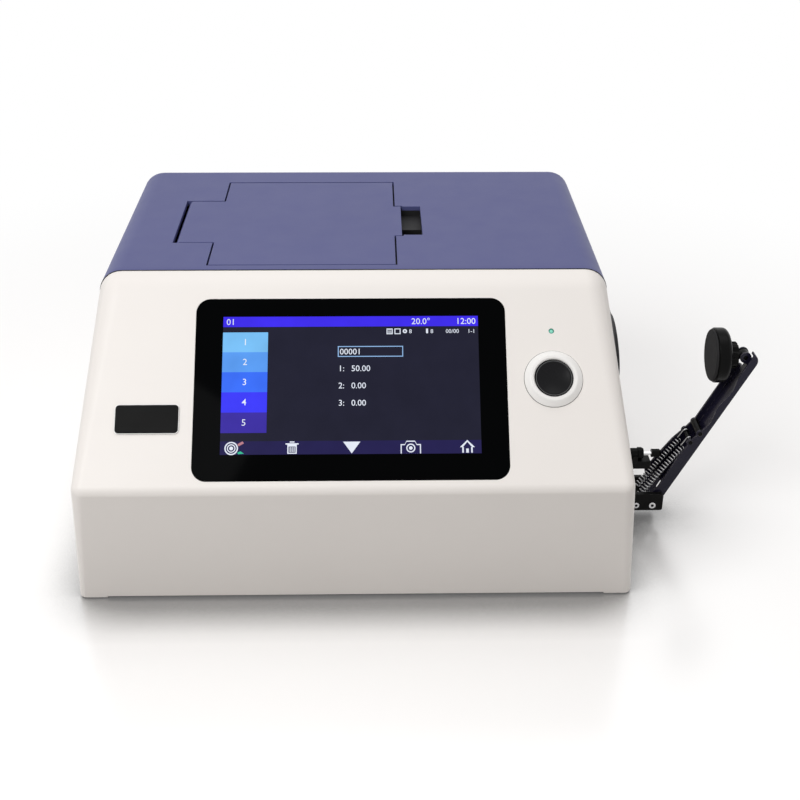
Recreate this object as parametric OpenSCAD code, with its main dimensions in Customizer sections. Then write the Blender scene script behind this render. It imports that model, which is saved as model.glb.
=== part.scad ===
// Benchtop colorimeter with a sloped touch display, a lidded sample chamber
// and a sprung sample arm that presses a sample on the measuring port in its side.
// X points to the right, Y to the back, Z up. The origin is on the desk, under the body's centre.

/* [Body] */
// Height of the body above the desk
body_h = 195; // [192:1:210]
// Half of the body's width at the desk
base_half = 176.5; // [172:0.5:190]
// Lean of the side walls from upright, in degrees
side_draft = 5.9; // [4:0.1:7]
// Place of the fold between the skirt and the sloped panel, along Y
fold_y = -150; // [-156:1:-146]
// Height of the fold above the desk
fold_z = 97.2; // [92:0.2:102]
// Slope of the front panel from level, in degrees
panel_slope = 45.6; // [43:0.1:49]
// Place of the skirt's foot along Y
skirt_foot_y = -121; // [-130:1:-116]
// Place of the rear wall along Y
rear_y = 150; // [145:1:165]
// Thickness of the moulded shells
wall = 3; // [2.4:0.1:3.4]
// Radius of the body's upright corners at the foot
corner_r = 4.5; // [4:0.5:8]
// Radius of the fold
fold_r = 7; // [5:0.5:9]
// Radius of the edges along the top
top_side_r = 15; // [12:0.5:18]
// Radius from the sloped panel into the top
brow_r = 27; // [22:0.5:30]
// Height of the skirt's lower edge between the corner pads
skirt_lift = 2; // [1.6:0.1:2.8]
// Length of the moulded corner pads
pad_run = 18; // [14:0.5:24]

/* [Seam] */
// Distance of the seam behind the line where the panel would meet the top
seam_back = 6.5; // [4:0.1:8]
// Width of the open seam between the cover and the housing
seam_gap = 0.4; // [0.3:0.05:0.6]
// Height of the seam along the sides
side_seam_z = 166; // [160:0.5:172]
// Radius where the seam turns from the front down to the side
seam_r = 12; // [8:0.5:16]

/* [Display] */
// Width of the display glass
glass_w = 187; // [180:0.5:192]
// Height of the display glass along the slope
glass_h = 113.1; // [108:0.1:115]
// Thickness of the display glass
glass_t = 2.2; // [1.8:0.1:2.6]
// How far the glass stands proud of the panel
glass_proud = 0.6; // [0.3:0.1:0.9]
// Corner radius of the glass
glass_r = 8.5; // [6:0.5:11]
// Centre of the display across the panel
display_x = -1.8; // [-4:0.1:2]
// Centre of the display up the panel from the fold
display_s = 63.5; // [62:0.1:66]
// Width of the picture area
screen_w = 154.2; // [150:0.1:158]
// Height of the picture area
screen_h = 85.9; // [82:0.1:90]

/* [Button] */
// Place of the measure button across the panel
button_x = 119.8; // [117:0.1:122]
// Place of the measure button up the panel
button_s = 68.3; // [64:0.1:72]
// Outer radius of the flared ring
ring_r = 17.5; // [16:0.1:19]
// Radius of the push button
button_r = 11.4; // [10.5:0.1:12]
// How far the ring stands out
ring_h = 3.4; // [2.8:0.1:4]
// Travel of the push button
button_travel = 1.6; // [1:0.1:2]
// Distance of the status light above the button
led_rise = 30.5; // [26:0.1:34]
// Radius of the status light
led_r = 1.5; // [1.2:0.1:2]

/* [Chamber lid] */
// Left edge of the lid's main plate
lid_x0 = -91; // [-94:0.5:-88]
// Right edge of the lid's main plate
lid_x1 = 26; // [24:0.5:28]
// Front edge of the lid
lid_y0 = -40; // [-42:0.5:-38]
// Rear edge of the lid
lid_y1 = 114; // [110:0.5:116]
// Reach of the hinge tab beyond the plate's left edge
tab_run = 25; // [22:0.5:28]
// Front edge of the hinge tab
tab_y0 = -2; // [-5:0.5:1]
// Rear edge of the hinge tab
tab_y1 = 75; // [72:0.5:78]
// Reach of the finger lip beyond the plate's right edge
lip_run = 5; // [4:0.5:7]
// Front edge of the finger lip
lip_y0 = 9; // [6:0.5:12]
// Rear edge of the finger lip
lip_y1 = 64; // [60:0.5:67]
// Width of the open finger well beside the lip
well_w = 13.5; // [12:0.5:16]
// Thickness of the lid and of the cover's top
lid_gap = 1; // [0.7:0.1:1.3]
// Radius of the lid's pivot barrel
barrel_r = 3; // [2.6:0.1:3.4]
// Radius of the lid's pivot pin
lid_pin_r = 1.2; // [1:0.1:1.5]

/* [Sample chamber] */
// Depth of the chamber below the cover's top face
chamber_depth = 132; // [110:1:140]
// Wall of the chamber liner
liner_t = 2; // [1.6:0.1:2.4]
// Inset of the chamber's walls from the lid's edge
chamber_inset = 4; // [3:0.5:5]
// Radius of the light ports between the sphere and the chamber
light_port_r = 11; // [9:0.5:13]

/* [Measuring port] */
// Height of the measuring port
port_z = 128; // [124:0.5:129]
// Place of the measuring port and of the sample arm along Y
port_y = -25.9; // [-28:0.1:-22]
// Radius of the port's mounting flange
port_flange_r = 34; // [32:0.5:38]
// Thickness of the port's mounting flange
port_flange_t = 4; // [3:0.1:5]
// Radius of the exchangeable aperture ring
aperture_ring_r = 24; // [20:0.5:27]
// How far the aperture ring stands out of its flange
aperture_ring_t = 3; // [2:0.1:4]
// Radius of the measuring aperture
aperture_r = 12.5; // [6:0.5:15]
// Outer radius of the integrating sphere
sphere_r = 60; // [56:0.5:61]

/* [Arm bracket] */
// Pivot of the sample arm, along X
pivot_x = 204.2; // [202:0.1:208]
// Pivot of the sample arm above the desk
pivot_z = 13.9; // [13:0.1:16]
// Right end of the bracket
bracket_x1 = 211.5; // [210:0.1:214]
// Underside of the bracket above the desk
bracket_z0 = 9.5; // [8.6:0.1:10]
// Top of the bracket's cheeks
bracket_z1 = 22.6; // [21.5:0.1:24]
// Thickness of the bracket's sheet
bracket_t = 3; // [2.5:0.1:3.5]
// Radius of the arm's pivot pin
pivot_r = 1.7; // [1.5:0.1:2.2]

/* [Arm] */
// Lean of the arm from upright as photographed, in degrees
arm_lean = 26.9; // [24:0.1:30]
// Width of the arm across its flanges
arm_w = 19; // [18.6:0.1:24]
// Thickness of the arm's sheet
arm_t = 1.6; // [1.2:0.1:1.8]
// Distance of the web's outer face from the pivot's plane
web_v = 4.8; // [4.6:0.1:5.2]
// Reach of the rear flange below, beside the springs
flange_low = 9.8; // [8.4:0.1:10.4]
// Number of waves along the front flange's edge
flange_waves = 2; // [1:1:4]
// Height of those waves
wave_h = 1.9; // [0.8:0.1:2.2]
// Length from the pivot to the presser's pin
arm_run = 121.7; // [116:0.1:122.4]
// Length from the pivot to the springs' upper bar
spring_run = 52.6; // [50:0.1:54]

/* [Arm springs] */
// Outer diameter of each arm spring
spring_d = 4.9; // [4.4:0.1:5.6]
// Diameter of the springs' wire
wire_d = 0.95; // [0.8:0.05:1.1]
// Number of turns of each spring
spring_turns = 19; // [14:1:22]
// Distance of each spring from the arm's middle
spring_off = 3.7; // [3.4:0.1:4.4]
// Distance of the springs' lower pin from the pivot
anchor_run = 11.2; // [11:0.1:12]
// Radius of the pins that hold the springs
hook_pin_r = 1.5; // [1.3:0.1:1.7]

/* [Presser] */
// Radius of the pressing disc
disc_r = 18.3; // [17:0.1:20]
// Thickness of the pressing disc
disc_t = 9.5; // [8:0.1:11]
// Thickness of the disc's rubber face
pad_t = 1.6; // [1.2:0.1:2.4]
// Radius of the fluted knob
knob_r = 9; // [8:0.1:9.4]
// Thickness of the fluted knob
knob_t = 6.2; // [5:0.1:6.4]
// Number of flutes round the knob
knob_flutes = 8; // [6:1:12]
// Distance from the presser's pin to the knob's face
neck_run = 5; // [5:0.1:5.6]
// Radius of the presser's spindle
spindle_r = 2.2; // [1.8:0.1:2.6]
// Radius of the presser's pin
presser_pin_r = 1.6; // [1.4:0.1:1.8]

/* [Damper] */
// Height of the arm's damper above the desk
damper_z = 48.2; // [46:0.1:50]
// Length of the damper's cylinder
damper_run = 25.5; // [22:0.5:26]
// Radius of the damper's cylinder
damper_r = 3.6; // [3.3:0.05:4]
// Radius of the damper's rod
rod_r = 1.1; // [0.9:0.05:1.3]
// Radius of the damper's head
head_r = 2.9; // [2.4:0.05:3.1]

/* [Connectors] */
// Width of the rear connector panel
rear_panel_w = 110; // [104:1:120]
// Height of the rear connector panel
rear_panel_h = 34; // [32:1:38]
// Centre of the rear connector panel along X
rear_panel_x = -70; // [-80:1:-62]
// Centre of the rear connector panel above the desk
rear_panel_z = 36; // [33:1:40]

/* [Hidden] */
$fn = 48;
// Fineness of the rounded shells
shell_fn = 32;
// Play between moving pieces, and between a pin and its bore
play = 0.3;
run_fit = 0.05;
// Gap at a flat seat between two pieces that are screwed together
seat = 0.05;
// Overrun of a cutting shape past the face that it opens
cut = 1;
// A length beyond everything, for cutting shapes
far = 500;
base_edge_r = 2;
rear_edge_r = 14;
floor_clear = 0.5;
lid_t = wall;

// Planes of the body's outline in Y and Z, each [normal y, normal z, distance]
function plane(ny, nz, y, z) = [ny, nz, ny * y + nz * z];
skirt_run = norm([fold_y - skirt_foot_y, fold_z]);
PANEL = plane(-sin(panel_slope), cos(panel_slope), fold_y, fold_z);
SKIRT = plane(-fold_z / skirt_run, (fold_y - skirt_foot_y) / skirt_run, fold_y, fold_z);
TOP = plane(0, 1, 0, body_h);
FLOOR = plane(0, -1, 0, 0);
REAR = plane(1, 0, rear_y, 0);
function meet(a, b, da, db) = let(
    det = a[0] * b[1] - a[1] * b[0],
    p = a[2] - da,
    q = b[2] - db)
    [(p * b[1] - a[1] * q) / det, (a[0] * q - p * b[0]) / det];
function side_x(z) = base_half - z * tan(side_draft);
// Height and place of the panel's upper end
seam_y = fold_y + (body_h - fold_z) / tan(panel_slope) + seam_back;
panel_run = (body_h - fold_z) / sin(panel_slope);

// Local frames: on the panel, on the right side at the port, and along the arm
module on_panel() {
    translate([0, fold_y, fold_z]) rotate([panel_slope, 0, 0]) children();
}
port_x = side_x(port_z);
module on_port() {
    translate([port_x, port_y, port_z]) rotate([0, 90 - side_draft, 0]) children();
}
module on_arm() {
    translate([pivot_x, port_y, pivot_z]) rotate([0, arm_lean, 0]) children();
}
function arm_point(u, v) = [
    pivot_x + u * sin(arm_lean) + v * cos(arm_lean),
    port_y,
    pivot_z + u * cos(arm_lean) - v * sin(arm_lean)];

module along_y(y0, y1, r) {
    translate([0, y0, 0]) rotate([-90, 0, 0]) cylinder(h = y1 - y0, r = r);
}
module rounded_plate(w, h, r) {
    hull_x = w / 2 - r;
    hull_y = h / 2 - r;
    union() {
        square([w, h - 2 * r], center = true);
        square([w - 2 * r, h], center = true);
        for (x = [-hull_x, hull_x], y = [-hull_y, hull_y]) translate([x, y]) circle(r);
    }
}

// The body's outer form, drawn in by t. Rings at its corners give the edges their radii.
module body_form(t) {
    hull($fn = shell_fn) {
        corner_z(FLOOR, SKIRT, corner_r - t, max(base_edge_r - t, 0.3), t, t > 0 ? -5 : 0);
        corner_z(FLOOR, REAR, rear_edge_r - t, max(base_edge_r - t, 0.3), t, t > 0 ? -5 : 0);
        corner_z(SKIRT, PANEL, fold_r + 0.5 - t, fold_r - t, t, t);
        corner_x(PANEL, TOP, brow_r - t, top_side_r - t, t);
        corner_x(TOP, REAR, top_side_r - t, top_side_r - t, t);
    }
}
// A pair of rings lying flat, where two planes meet: plan radius r and edge radius e
module corner_z(a, b, r, e, t, ta) {
    m = r - e;
    da = m * abs(a[0]) + e + ta;
    db = m * abs(b[0]) + e + t;
    p = meet(a, b, da, db);
    x = (base_half * cos(side_draft) - t - m * cos(side_draft) - e - p[1] * sin(side_draft))
        / cos(side_draft);
    for (s = [-1, 1]) translate([s * x, p[0], p[1]])
        rotate_extrude($fn = shell_fn) half_ring(m, e);
}
// Section of a ring, kept on one side of its axis
module half_ring(m, e) {
    intersection() {
        translate([m, 0]) circle(e, $fn = shell_fn);
        translate([0, -far / 2]) square(far);
    }
}
// A pair of rings standing in the Y and Z plane: radius r seen from the side, edge radius e
module corner_x(a, b, r, e, t) {
    m = max(r - e, 0.01);
    p = meet(a, b, m + e + t, m + e + t);
    x = (base_half * cos(side_draft) - t - m * sin(side_draft) - e - p[1] * sin(side_draft))
        / cos(side_draft);
    for (s = [-1, 1]) translate([s * x, p[0], p[1]]) rotate([0, 90, 0])
        rotate_extrude($fn = shell_fn) half_ring(m, e);
}

// What lies above and behind the seam. The seam falls from the top and turns along the sides.
module cover_side(gap) {
    y0 = seam_y - gap;
    z0 = side_seam_z - gap;
    rotate([90, 0, 90]) linear_extrude(far, center = true) union() {
        translate([y0 + seam_r, z0]) square([far, far]);
        translate([y0, z0 + seam_r]) square([far, far]);
        translate([y0 + seam_r, z0 + seam_r]) circle(seam_r);
    }
}

// The lid's outline seen from above, grown by g
module lid_outline(g) {
    union() {
        translate([lid_x0 - g, lid_y0 - g])
            square([lid_x1 - lid_x0 + 2 * g, lid_y1 - lid_y0 + 2 * g]);
        translate([hinge_x, tab_y0 - g]) square([lid_x0 - hinge_x, tab_y1 - tab_y0 + 2 * g]);
        translate([lid_x1, lip_y0 - g]) square([lip_run + g, lip_y1 - lip_y0 + 2 * g]);
    }
}
under_top = body_h - lid_t;
hinge_x = lid_x0 - tab_run + barrel_r;
hinge_z = body_h - barrel_r;
well_x0 = lid_x1 + lid_gap;
well_x1 = lid_x1 + lip_run + well_w;
well_y0 = lip_y0 + lid_gap;
well_y1 = lip_y1 - lid_gap / 2;
well_depth = 15;
well_step = 7;

// Housing: white lower shell with the sloped panel
rail_w = 5;
rail_drop = 9;
rail_rise = 4;
rail_y0 = seam_y + seam_r + 20;
rail_y1 = rear_y - 20;
boss_r = 6;
boss_x = base_half - 20;
boss_y0 = skirt_foot_y + 20;
boss_y1 = rear_y - 22;
boss_h = 30;
plate_z0 = 3;
plate_t = 2;
screw_r = 2;
module lower_housing() {
    color("whitesmoke") difference() {
        union() {
            difference() {
                body_form(0);
                body_form(wall);
                cover_side(seam_gap);
            }
            housing_rails();
            housing_bosses();
        }
        lift_cuts();
        translate([0, 0, -far / 2 + floor_clear]) cube(far, center = true);
        panel_cuts();
        port_cut();
        rear_cut();
        for (x = [-boss_x, boss_x], y = [boss_y0, boss_y1])
            translate([x, y, plate_z0]) cylinder(h = boss_h / 2, r = screw_r);
    }
}
// Ledges inside the side walls that carry and centre the cover
module housing_rails() {
    for (s = [-1, 1]) intersection() {
        body_form_rail(s);
        translate([0, (rail_y0 + rail_y1) / 2, side_seam_z])
            cube([far, rail_y1 - rail_y0, 2 * rail_drop], center = true);
    }
}
module body_form_rail(s) {
    top_z = side_seam_z + rail_rise;
    low_z = side_seam_z - rail_drop;
    x0 = side_x(top_z) - wall / cos(side_draft);
    x1 = side_x(low_z) - wall / cos(side_draft);
    mirror([s > 0 ? 0 : 1, 0, 0]) translate([0, rail_y1, 0]) rotate([90, 0, 0])
        linear_extrude(rail_y1 - rail_y0)
            polygon([[x0 - 0.2, top_z], [x0 - rail_w / 2, top_z],
                [side_x(side_seam_z) - wall - rail_w, side_seam_z - 1], [x1 - 1, low_z],
                [x1 + wall / 2, low_z], [side_x(side_seam_z) - wall / 2, side_seam_z - seam_gap],
                [side_x(side_seam_z) - wall / cos(side_draft) - 0.2, side_seam_z - seam_gap]]);
}
module housing_bosses() {
    for (s = [-1, 1], y = [boss_y0, boss_y1]) {
        translate([s * boss_x, y, plate_z0 + plate_t]) cylinder(h = boss_h, r = boss_r);
        translate([s * (boss_x + (base_half - boss_x) / 2 - 2), y, plate_z0 + plate_t + boss_h / 2])
            cube([base_half - boss_x - 4, wall, boss_h], center = true);
    }
}
module lift_cuts() {
    low = skirt_lift;
    flat_x = base_half - pad_run;
    flat_y0 = skirt_foot_y + pad_run;
    flat_y1 = rear_y - pad_run;
    translate([-flat_x, -far / 2, -cut]) cube([2 * flat_x, far, low + cut]);
    translate([-far / 2, flat_y0, -cut]) cube([far, flat_y1 - flat_y0, low + cut]);
}
window_w = screen_w + 4;
window_h = screen_h + 4;
glass_seat = glass_t - glass_proud;
module panel_cuts() {
    on_panel() {
        translate([display_x, display_s, -glass_seat]) linear_extrude(far / 10)
            rounded_plate(glass_w + 2 * play, glass_h + 2 * play, glass_r + play);
        translate([display_x, display_s, 0])
            cube([window_w, window_h, 6 * wall], center = true);
        translate([button_x, button_s, -3 * wall]) cylinder(h = 6 * wall, r = button_r + 2);
        translate([button_x, button_s + led_rise, -3 * wall]) cylinder(h = 6 * wall, r = led_r + 0.2);
    }
}
module port_cut() {
    on_port() translate([0, 0, -3 * wall]) cylinder(h = 6 * wall, r = port_neck_r + 0.2);
}
module rear_cut() {
    translate([rear_panel_x, rear_y, rear_panel_z]) {
        cube([rear_panel_w + 2 * play, 2 * panel_t, rear_panel_h + 2 * play], center = true);
        cube([rear_panel_w - 8, 4 * wall, rear_panel_h - 8], center = true);
    }
}

// Cover: blue hood over the top and the back
module top_cover() {
    color([0.42, 0.43, 0.57]) difference() {
        intersection() {
            difference() {
                body_form(0);
                body_form(wall);
            }
            cover_side(0);
        }
        translate([0, 0, under_top - cut]) linear_extrude(lid_t + 2 * cut) {
            lid_outline(lid_gap);
            translate([hinge_x - barrel_r - 1.8, tab_y0 - lid_gap])
                square([barrel_r + 2, tab_y1 - tab_y0 + 2 * lid_gap]);
            translate([lid_x1, well_y0]) square([well_x1 - lid_x1, well_y1 - well_y0]);
        }
        translate([hinge_x, 0, hinge_z]) along_y(ear_y0, ear_y1, lid_pin_r + 0.01);
    }
    color([0.42, 0.43, 0.57]) hinge_ears();
}
ear_t = 3.5;
ear_gap = 0.5;
ear_y0 = tab_y0 - lid_gap - ear_gap - ear_t;
ear_y1 = tab_y1 + lid_gap + ear_gap + ear_t;
module hinge_ears() {
    for (y = [ear_y0, ear_y1 - ear_t]) difference() {
        union() {
            translate([hinge_x, 0, hinge_z]) along_y(y, y + ear_t, barrel_r + 1);
            translate([hinge_x - barrel_r - 1, y, hinge_z])
                cube([2 * barrel_r + 2, ear_t, under_top + 0.5 - hinge_z]);
        }
        translate([hinge_x, 0, hinge_z]) along_y(y - cut, y + ear_t + cut, lid_pin_r + 0.01);
        translate([hinge_x - far / 2, y - cut, under_top + 0.5]) cube([far, ear_t + 2 * cut, 10]);
    }
}

// Lid of the sample chamber, with its pivot barrel along the tab's end
rib_drop = 3;
rib_in = 7;
module chamber_lid() {
    color([0.40, 0.41, 0.55]) difference() {
        union() {
            translate([0, 0, under_top]) linear_extrude(lid_t) lid_outline(0);
            translate([hinge_x, 0, hinge_z]) along_y(tab_y0, tab_y1, barrel_r);
            lid_rib();
        }
        translate([hinge_x, 0, hinge_z]) along_y(tab_y0 - cut, tab_y1 + cut, lid_pin_r + run_fit);
    }
}
module lid_rib() {
    w = lid_x1 - lid_x0 - 2 * rib_in;
    d = lid_y1 - lid_y0 - 2 * rib_in;
    translate([lid_x0 + rib_in, lid_y0 + rib_in, under_top - rib_drop]) difference() {
        cube([w, d, rib_drop + 0.5]);
        translate([2, 2, -cut]) cube([w - 4, d - 4, rib_drop + cut]);
    }
}
module lid_hinge_pin() {
    color("silver") translate([hinge_x, 0, hinge_z])
        along_y(ear_y0, ear_y1, lid_pin_r);
}

// Black liner: a flange under the cover, the chamber, and the finger well
flange_out = 2.4;
flange_t = 3.2;
seat_out = 1.2;
gasket_t = 1;
chamber_x0 = lid_x0 + chamber_inset;
chamber_x1 = lid_x1 - chamber_inset;
chamber_y0 = lid_y0 + chamber_inset;
chamber_y1 = lid_y1 - chamber_inset;
chamber_z0 = body_h - chamber_depth;
gasket_z = under_top - play - gasket_t;
module sample_chamber() {
    color([0.09, 0.09, 0.10]) difference() {
        union() {
            translate([lid_x0 - flange_out, lid_y0 - flange_out, under_top - flange_t])
                cube([lid_x1 - lid_x0 + 2 * flange_out, lid_y1 - lid_y0 + 2 * flange_out, flange_t]);
            translate([chamber_x0 - liner_t, chamber_y0 - liner_t, chamber_z0 - liner_t])
                cube([chamber_x1 - chamber_x0 + 2 * liner_t, chamber_y1 - chamber_y0 + 2 * liner_t,
                    under_top - chamber_z0]);
            translate([lid_x1, well_y0 - liner_t, body_h - well_depth - liner_t])
                cube([well_x1 - lid_x1 + liner_t, well_y1 - well_y0 + 2 * liner_t,
                    well_depth + liner_t - lid_t]);
        }
        translate([lid_x0 - seat_out, lid_y0 - seat_out, gasket_z])
            cube([lid_x1 - lid_x0 + 2 * seat_out, lid_y1 - lid_y0 + 2 * seat_out, far]);
        translate([chamber_x0, chamber_y0, chamber_z0])
            cube([chamber_x1 - chamber_x0, chamber_y1 - chamber_y0, far]);
        translate([lid_x0 - tab_run, tab_y0 - 2, hinge_z - barrel_r - 1])
            cube([tab_run + chamber_inset - liner_t, tab_y1 - tab_y0 + 4, far / 10]);
        translate([well_x0, well_y0, body_h - well_step])
            cube([well_x1 - well_x0, well_y1 - well_y0, far / 10]);
        translate([well_x0, well_y0, body_h - well_depth])
            cube([well_x1 - well_x0, (well_y1 - well_y0) / 2, far / 10]);
        light_axis(chamber_x1 - cut, chamber_x1 + liner_t + cut, light_port_r);
        light_axis(chamber_x0 - liner_t - cut, chamber_x0 + cut, lens_r + 0.1);
    }
}
module light_axis(x0, x1, r) {
    translate([x0, port_y, sphere_z]) rotate([0, 90, 0]) cylinder(h = x1 - x0, r = r);
}
module lid_gasket() {
    color([0.05, 0.05, 0.05]) translate([0, 0, gasket_z]) linear_extrude(gasket_t)
        difference() {
            translate([lid_x0 - 1, lid_y0 - 1]) square([lid_x1 - lid_x0 + 2, lid_y1 - lid_y0 + 2]);
            translate([chamber_x0, chamber_y0])
                square([chamber_x1 - chamber_x0, chamber_y1 - chamber_y0]);
            translate([lid_x0 - 2, tab_y0 - 2]) square([2 + chamber_inset, tab_y1 - tab_y0 + 4]);
        }
}

// Optics: integrating sphere in two halves, lamp, ports, lens and spectrometer
sphere_wall = 3;
sphere_back = wall + sphere_r + 0.2;
sphere_x = port_x - sphere_back * cos(side_draft);
sphere_z = port_z - sphere_back * sin(side_draft);
rim_r = sphere_r + 5;
rim_t = 3;
port_neck_r = aperture_r + 4;
lamp_port_r = 12;
reading_port_r = 7;
lens_r = 9;
module at_sphere() {
    translate([sphere_x, port_y, sphere_z]) children();
}
// Half of the shell, with its clamping rim: side is -1 for the left half, 1 for the right
module sphere_half(side) {
    color([0.82, 0.82, 0.80]) at_sphere() difference() {
        rotate([0, side * 90, 0]) rotate_extrude() difference() {
            union() {
                intersection() {
                    circle(sphere_r);
                    square(sphere_r + cut);
                }
                square([rim_r, rim_t]);
            }
            circle(sphere_r - sphere_wall);
        }
        rotate([0, 90 - side_draft, 0]) cylinder(h = far, r = port_neck_r + 0.2);
        rotate([0, -90, 0]) cylinder(h = far, r = light_port_r);
        translate([lamp_off, 0, 0]) cylinder(h = far, r = lamp_port_r + 0.1);
        translate([lamp_off, 0, 0]) rotate([-90, 0, 0]) cylinder(h = far, r = reading_port_r + 0.1);
    }
}
lamp_off = 24;
collar_r = lamp_port_r + 3;
module sphere_left() {
    sphere_half(-1);
}
module sphere_right() {
    sphere_half(1);
}
stand_r = 26;
module sphere_stand() {
    color([0.25, 0.25, 0.27]) difference() {
        union() {
            translate([sphere_x - 20, port_y, plate_top]) cylinder(h = sphere_z - sphere_r, r = stand_r);
            translate([sphere_x - 20, port_y, plate_top]) cylinder(h = 3, r = stand_r + 8);
        }
        translate([sphere_x - 20, port_y, plate_top - cut]) cylinder(h = far, r = stand_r - 4);
        at_sphere() sphere(sphere_r + 0.1);
        at_sphere() translate([-rim_t - 0.3, 0, 0]) rotate([0, 90, 0])
            cylinder(h = 2 * rim_t + 0.6, r = rim_r + 0.3);
    }
}
plate_top = plate_z0 + plate_t;
lamp_h = min(9, under_top - 1 - sphere_z - collar_z(collar_r));
fin_t = 1.2;
fin_pitch = min(2.2, (under_top - 1 - sphere_z - sphere_r - 1 - fin_t) / 3);
// Where a collar of radius r, set off the sphere's middle, meets the sphere
function collar_z(r) = sqrt(pow(sphere_r, 2) - pow(lamp_off - r, 2)) + 0.1;
module lamp_module() {
    lamp_base = sqrt(pow(sphere_r, 2) - pow(lamp_port_r, 2));
    color([0.30, 0.30, 0.32]) at_sphere() translate([lamp_off, 0, 0]) difference() {
        union() {
            translate([0, 0, lamp_base - 4]) cylinder(h = 8, r = lamp_port_r);
            translate([0, 0, collar_z(collar_r)]) cylinder(h = lamp_h, r = collar_r);
            for (i = [0:3]) translate([0, 0, sphere_r + 1 + fin_pitch * i])
                cylinder(h = fin_t, r = collar_r + 2);
        }
        translate([-lamp_off, 0, 0]) sphere(sphere_r - sphere_wall - 1);
    }
}
tube_y1 = 46;
module reading_tube() {
    color([0.12, 0.12, 0.13]) at_sphere() translate([lamp_off, 0, 0]) difference() {
        union() {
            along_y(sphere_r - 6, sphere_r + tube_y1, reading_port_r);
            along_y(collar_z(reading_port_r + 4), sphere_r + 6, reading_port_r + 4);
        }
        along_y(sphere_r - 8, sphere_r + tube_y1 - 3, reading_port_r - 2);
        translate([-lamp_off, 0, 0]) sphere(sphere_r - sphere_wall - 0.5);
    }
}
spec_w = 74;
spec_d = 34;
spec_h = 52;
spec_x = sphere_x + lamp_off - 8;
spec_y0 = port_y + sphere_r + tube_y1;
module spectrometer() {
    color([0.16, 0.16, 0.18]) translate([spec_x, spec_y0 + spec_d / 2, sphere_z]) difference() {
        union() {
            cube([spec_w, spec_d, spec_h], center = true);
            translate([0, 0, spec_h / 2]) cube([spec_w - 16, spec_d - 10, 6], center = true);
        }
        for (x = [-1, 1], z = [-1, 1]) translate([x * (spec_w / 2 - 4), 0, z * (spec_h / 2 - 4)])
            along_y(-spec_d / 2 - cut, -spec_d / 2 + 8, 1.5);
    }
}
module spectrometer_stand() {
    leg_h = sphere_z - spec_h / 2 - plate_top;
    color([0.62, 0.63, 0.65]) translate([spec_x, spec_y0 + spec_d / 2, plate_top]) {
        for (s = [-1, 1]) translate([s * (spec_w / 2 - 6), 0, leg_h / 2])
            cube([3, spec_d - 6, leg_h], center = true);
        translate([0, 0, 1.5]) cube([spec_w + 12, spec_d - 6, 3], center = true);
        translate([0, 0, leg_h - 1.5]) cube([spec_w - 10, spec_d - 6, 3], center = true);
    }
}
module transmission_port() {
    x0 = chamber_x1 + liner_t;
    color([0.75, 0.75, 0.76]) difference() {
        light_axis(x0, sphere_x - sphere_r + 3, light_port_r + 5);
        light_axis(x0 - cut, far, light_port_r);
        at_sphere() sphere(sphere_r + 0.25);
    }
}
lens_run = 26;
module transmission_lens() {
    x1 = chamber_x0;
    color([0.14, 0.14, 0.15]) difference() {
        union() {
            light_axis(x1 - liner_t - lens_run, x1, lens_r);
            light_axis(x1 - liner_t - 3, x1 - liner_t, lens_r + 5);
            translate([x1 - liner_t - lens_run - 16, port_y - 20, sphere_z - 20]) cube([16, 40, 40]);
        }
        light_axis(x1 - liner_t - 4, x1 + cut, lens_r - 2);
    }
}

// Electronics
board_t = 1.6;
module main_board() {
    board_w = 120;
    board_d = 96;
    x0 = -148;
    y0 = 38;
    z0 = plate_top + 7;
    color([0.05, 0.32, 0.16]) {
        translate([x0, y0, z0]) cube([board_w, board_d, board_t]);
        for (x = [x0 + 6, x0 + board_w - 6], y = [y0 + 6, y0 + board_d - 6])
            translate([x, y, plate_top]) cylinder(h = z0 - plate_top, r = 3);
        translate([x0 + 30, y0 + 30, z0 + board_t]) cube([20, 20, 2]);
        translate([x0 + 64, y0 + 24, z0 + board_t]) cube([14, 14, 1.6]);
        for (i = [0:3]) translate([x0 + 96, y0 + 16 + 14 * i, z0 + board_t]) cylinder(h = 10, r = 4);
    }
}
module display_module() {
    color([0.35, 0.36, 0.38]) on_panel() translate([display_x, display_s, 0]) {
        translate([0, 0, -glass_seat - (wall - glass_seat) / 2 - 0.1])
            cube([window_w - 1, window_h - 1, wall - glass_seat + 0.2], center = true);
        translate([0, 0, -wall - seat - 2.5]) cube([screen_w + 12, screen_h + 14, 5], center = true);
    }
}
module display_board() {
    color([0.05, 0.32, 0.16]) on_panel() translate([display_x, display_s, -wall - seat - 5]) {
        translate([0, 0, -3 - board_t / 2]) cube([screen_w - 4, screen_h, board_t], center = true);
        for (x = [-1, 1], y = [-1, 1]) translate([x * (screen_w / 2 - 8), y * (screen_h / 2 - 6), -3])
            cylinder(h = 3, r = 3);
    }
}
module screen_glass() {
    color([0.04, 0.04, 0.045]) on_panel() translate([display_x, display_s, -glass_seat])
        union() {
            linear_extrude(glass_t - 0.5) rounded_plate(glass_w, glass_h, glass_r);
            linear_extrude(glass_t - 0.25) rounded_plate(glass_w - 0.3, glass_h - 0.3, glass_r - 0.15);
            linear_extrude(glass_t) rounded_plate(glass_w - 1, glass_h - 1, glass_r - 0.5);
        }
}

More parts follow.
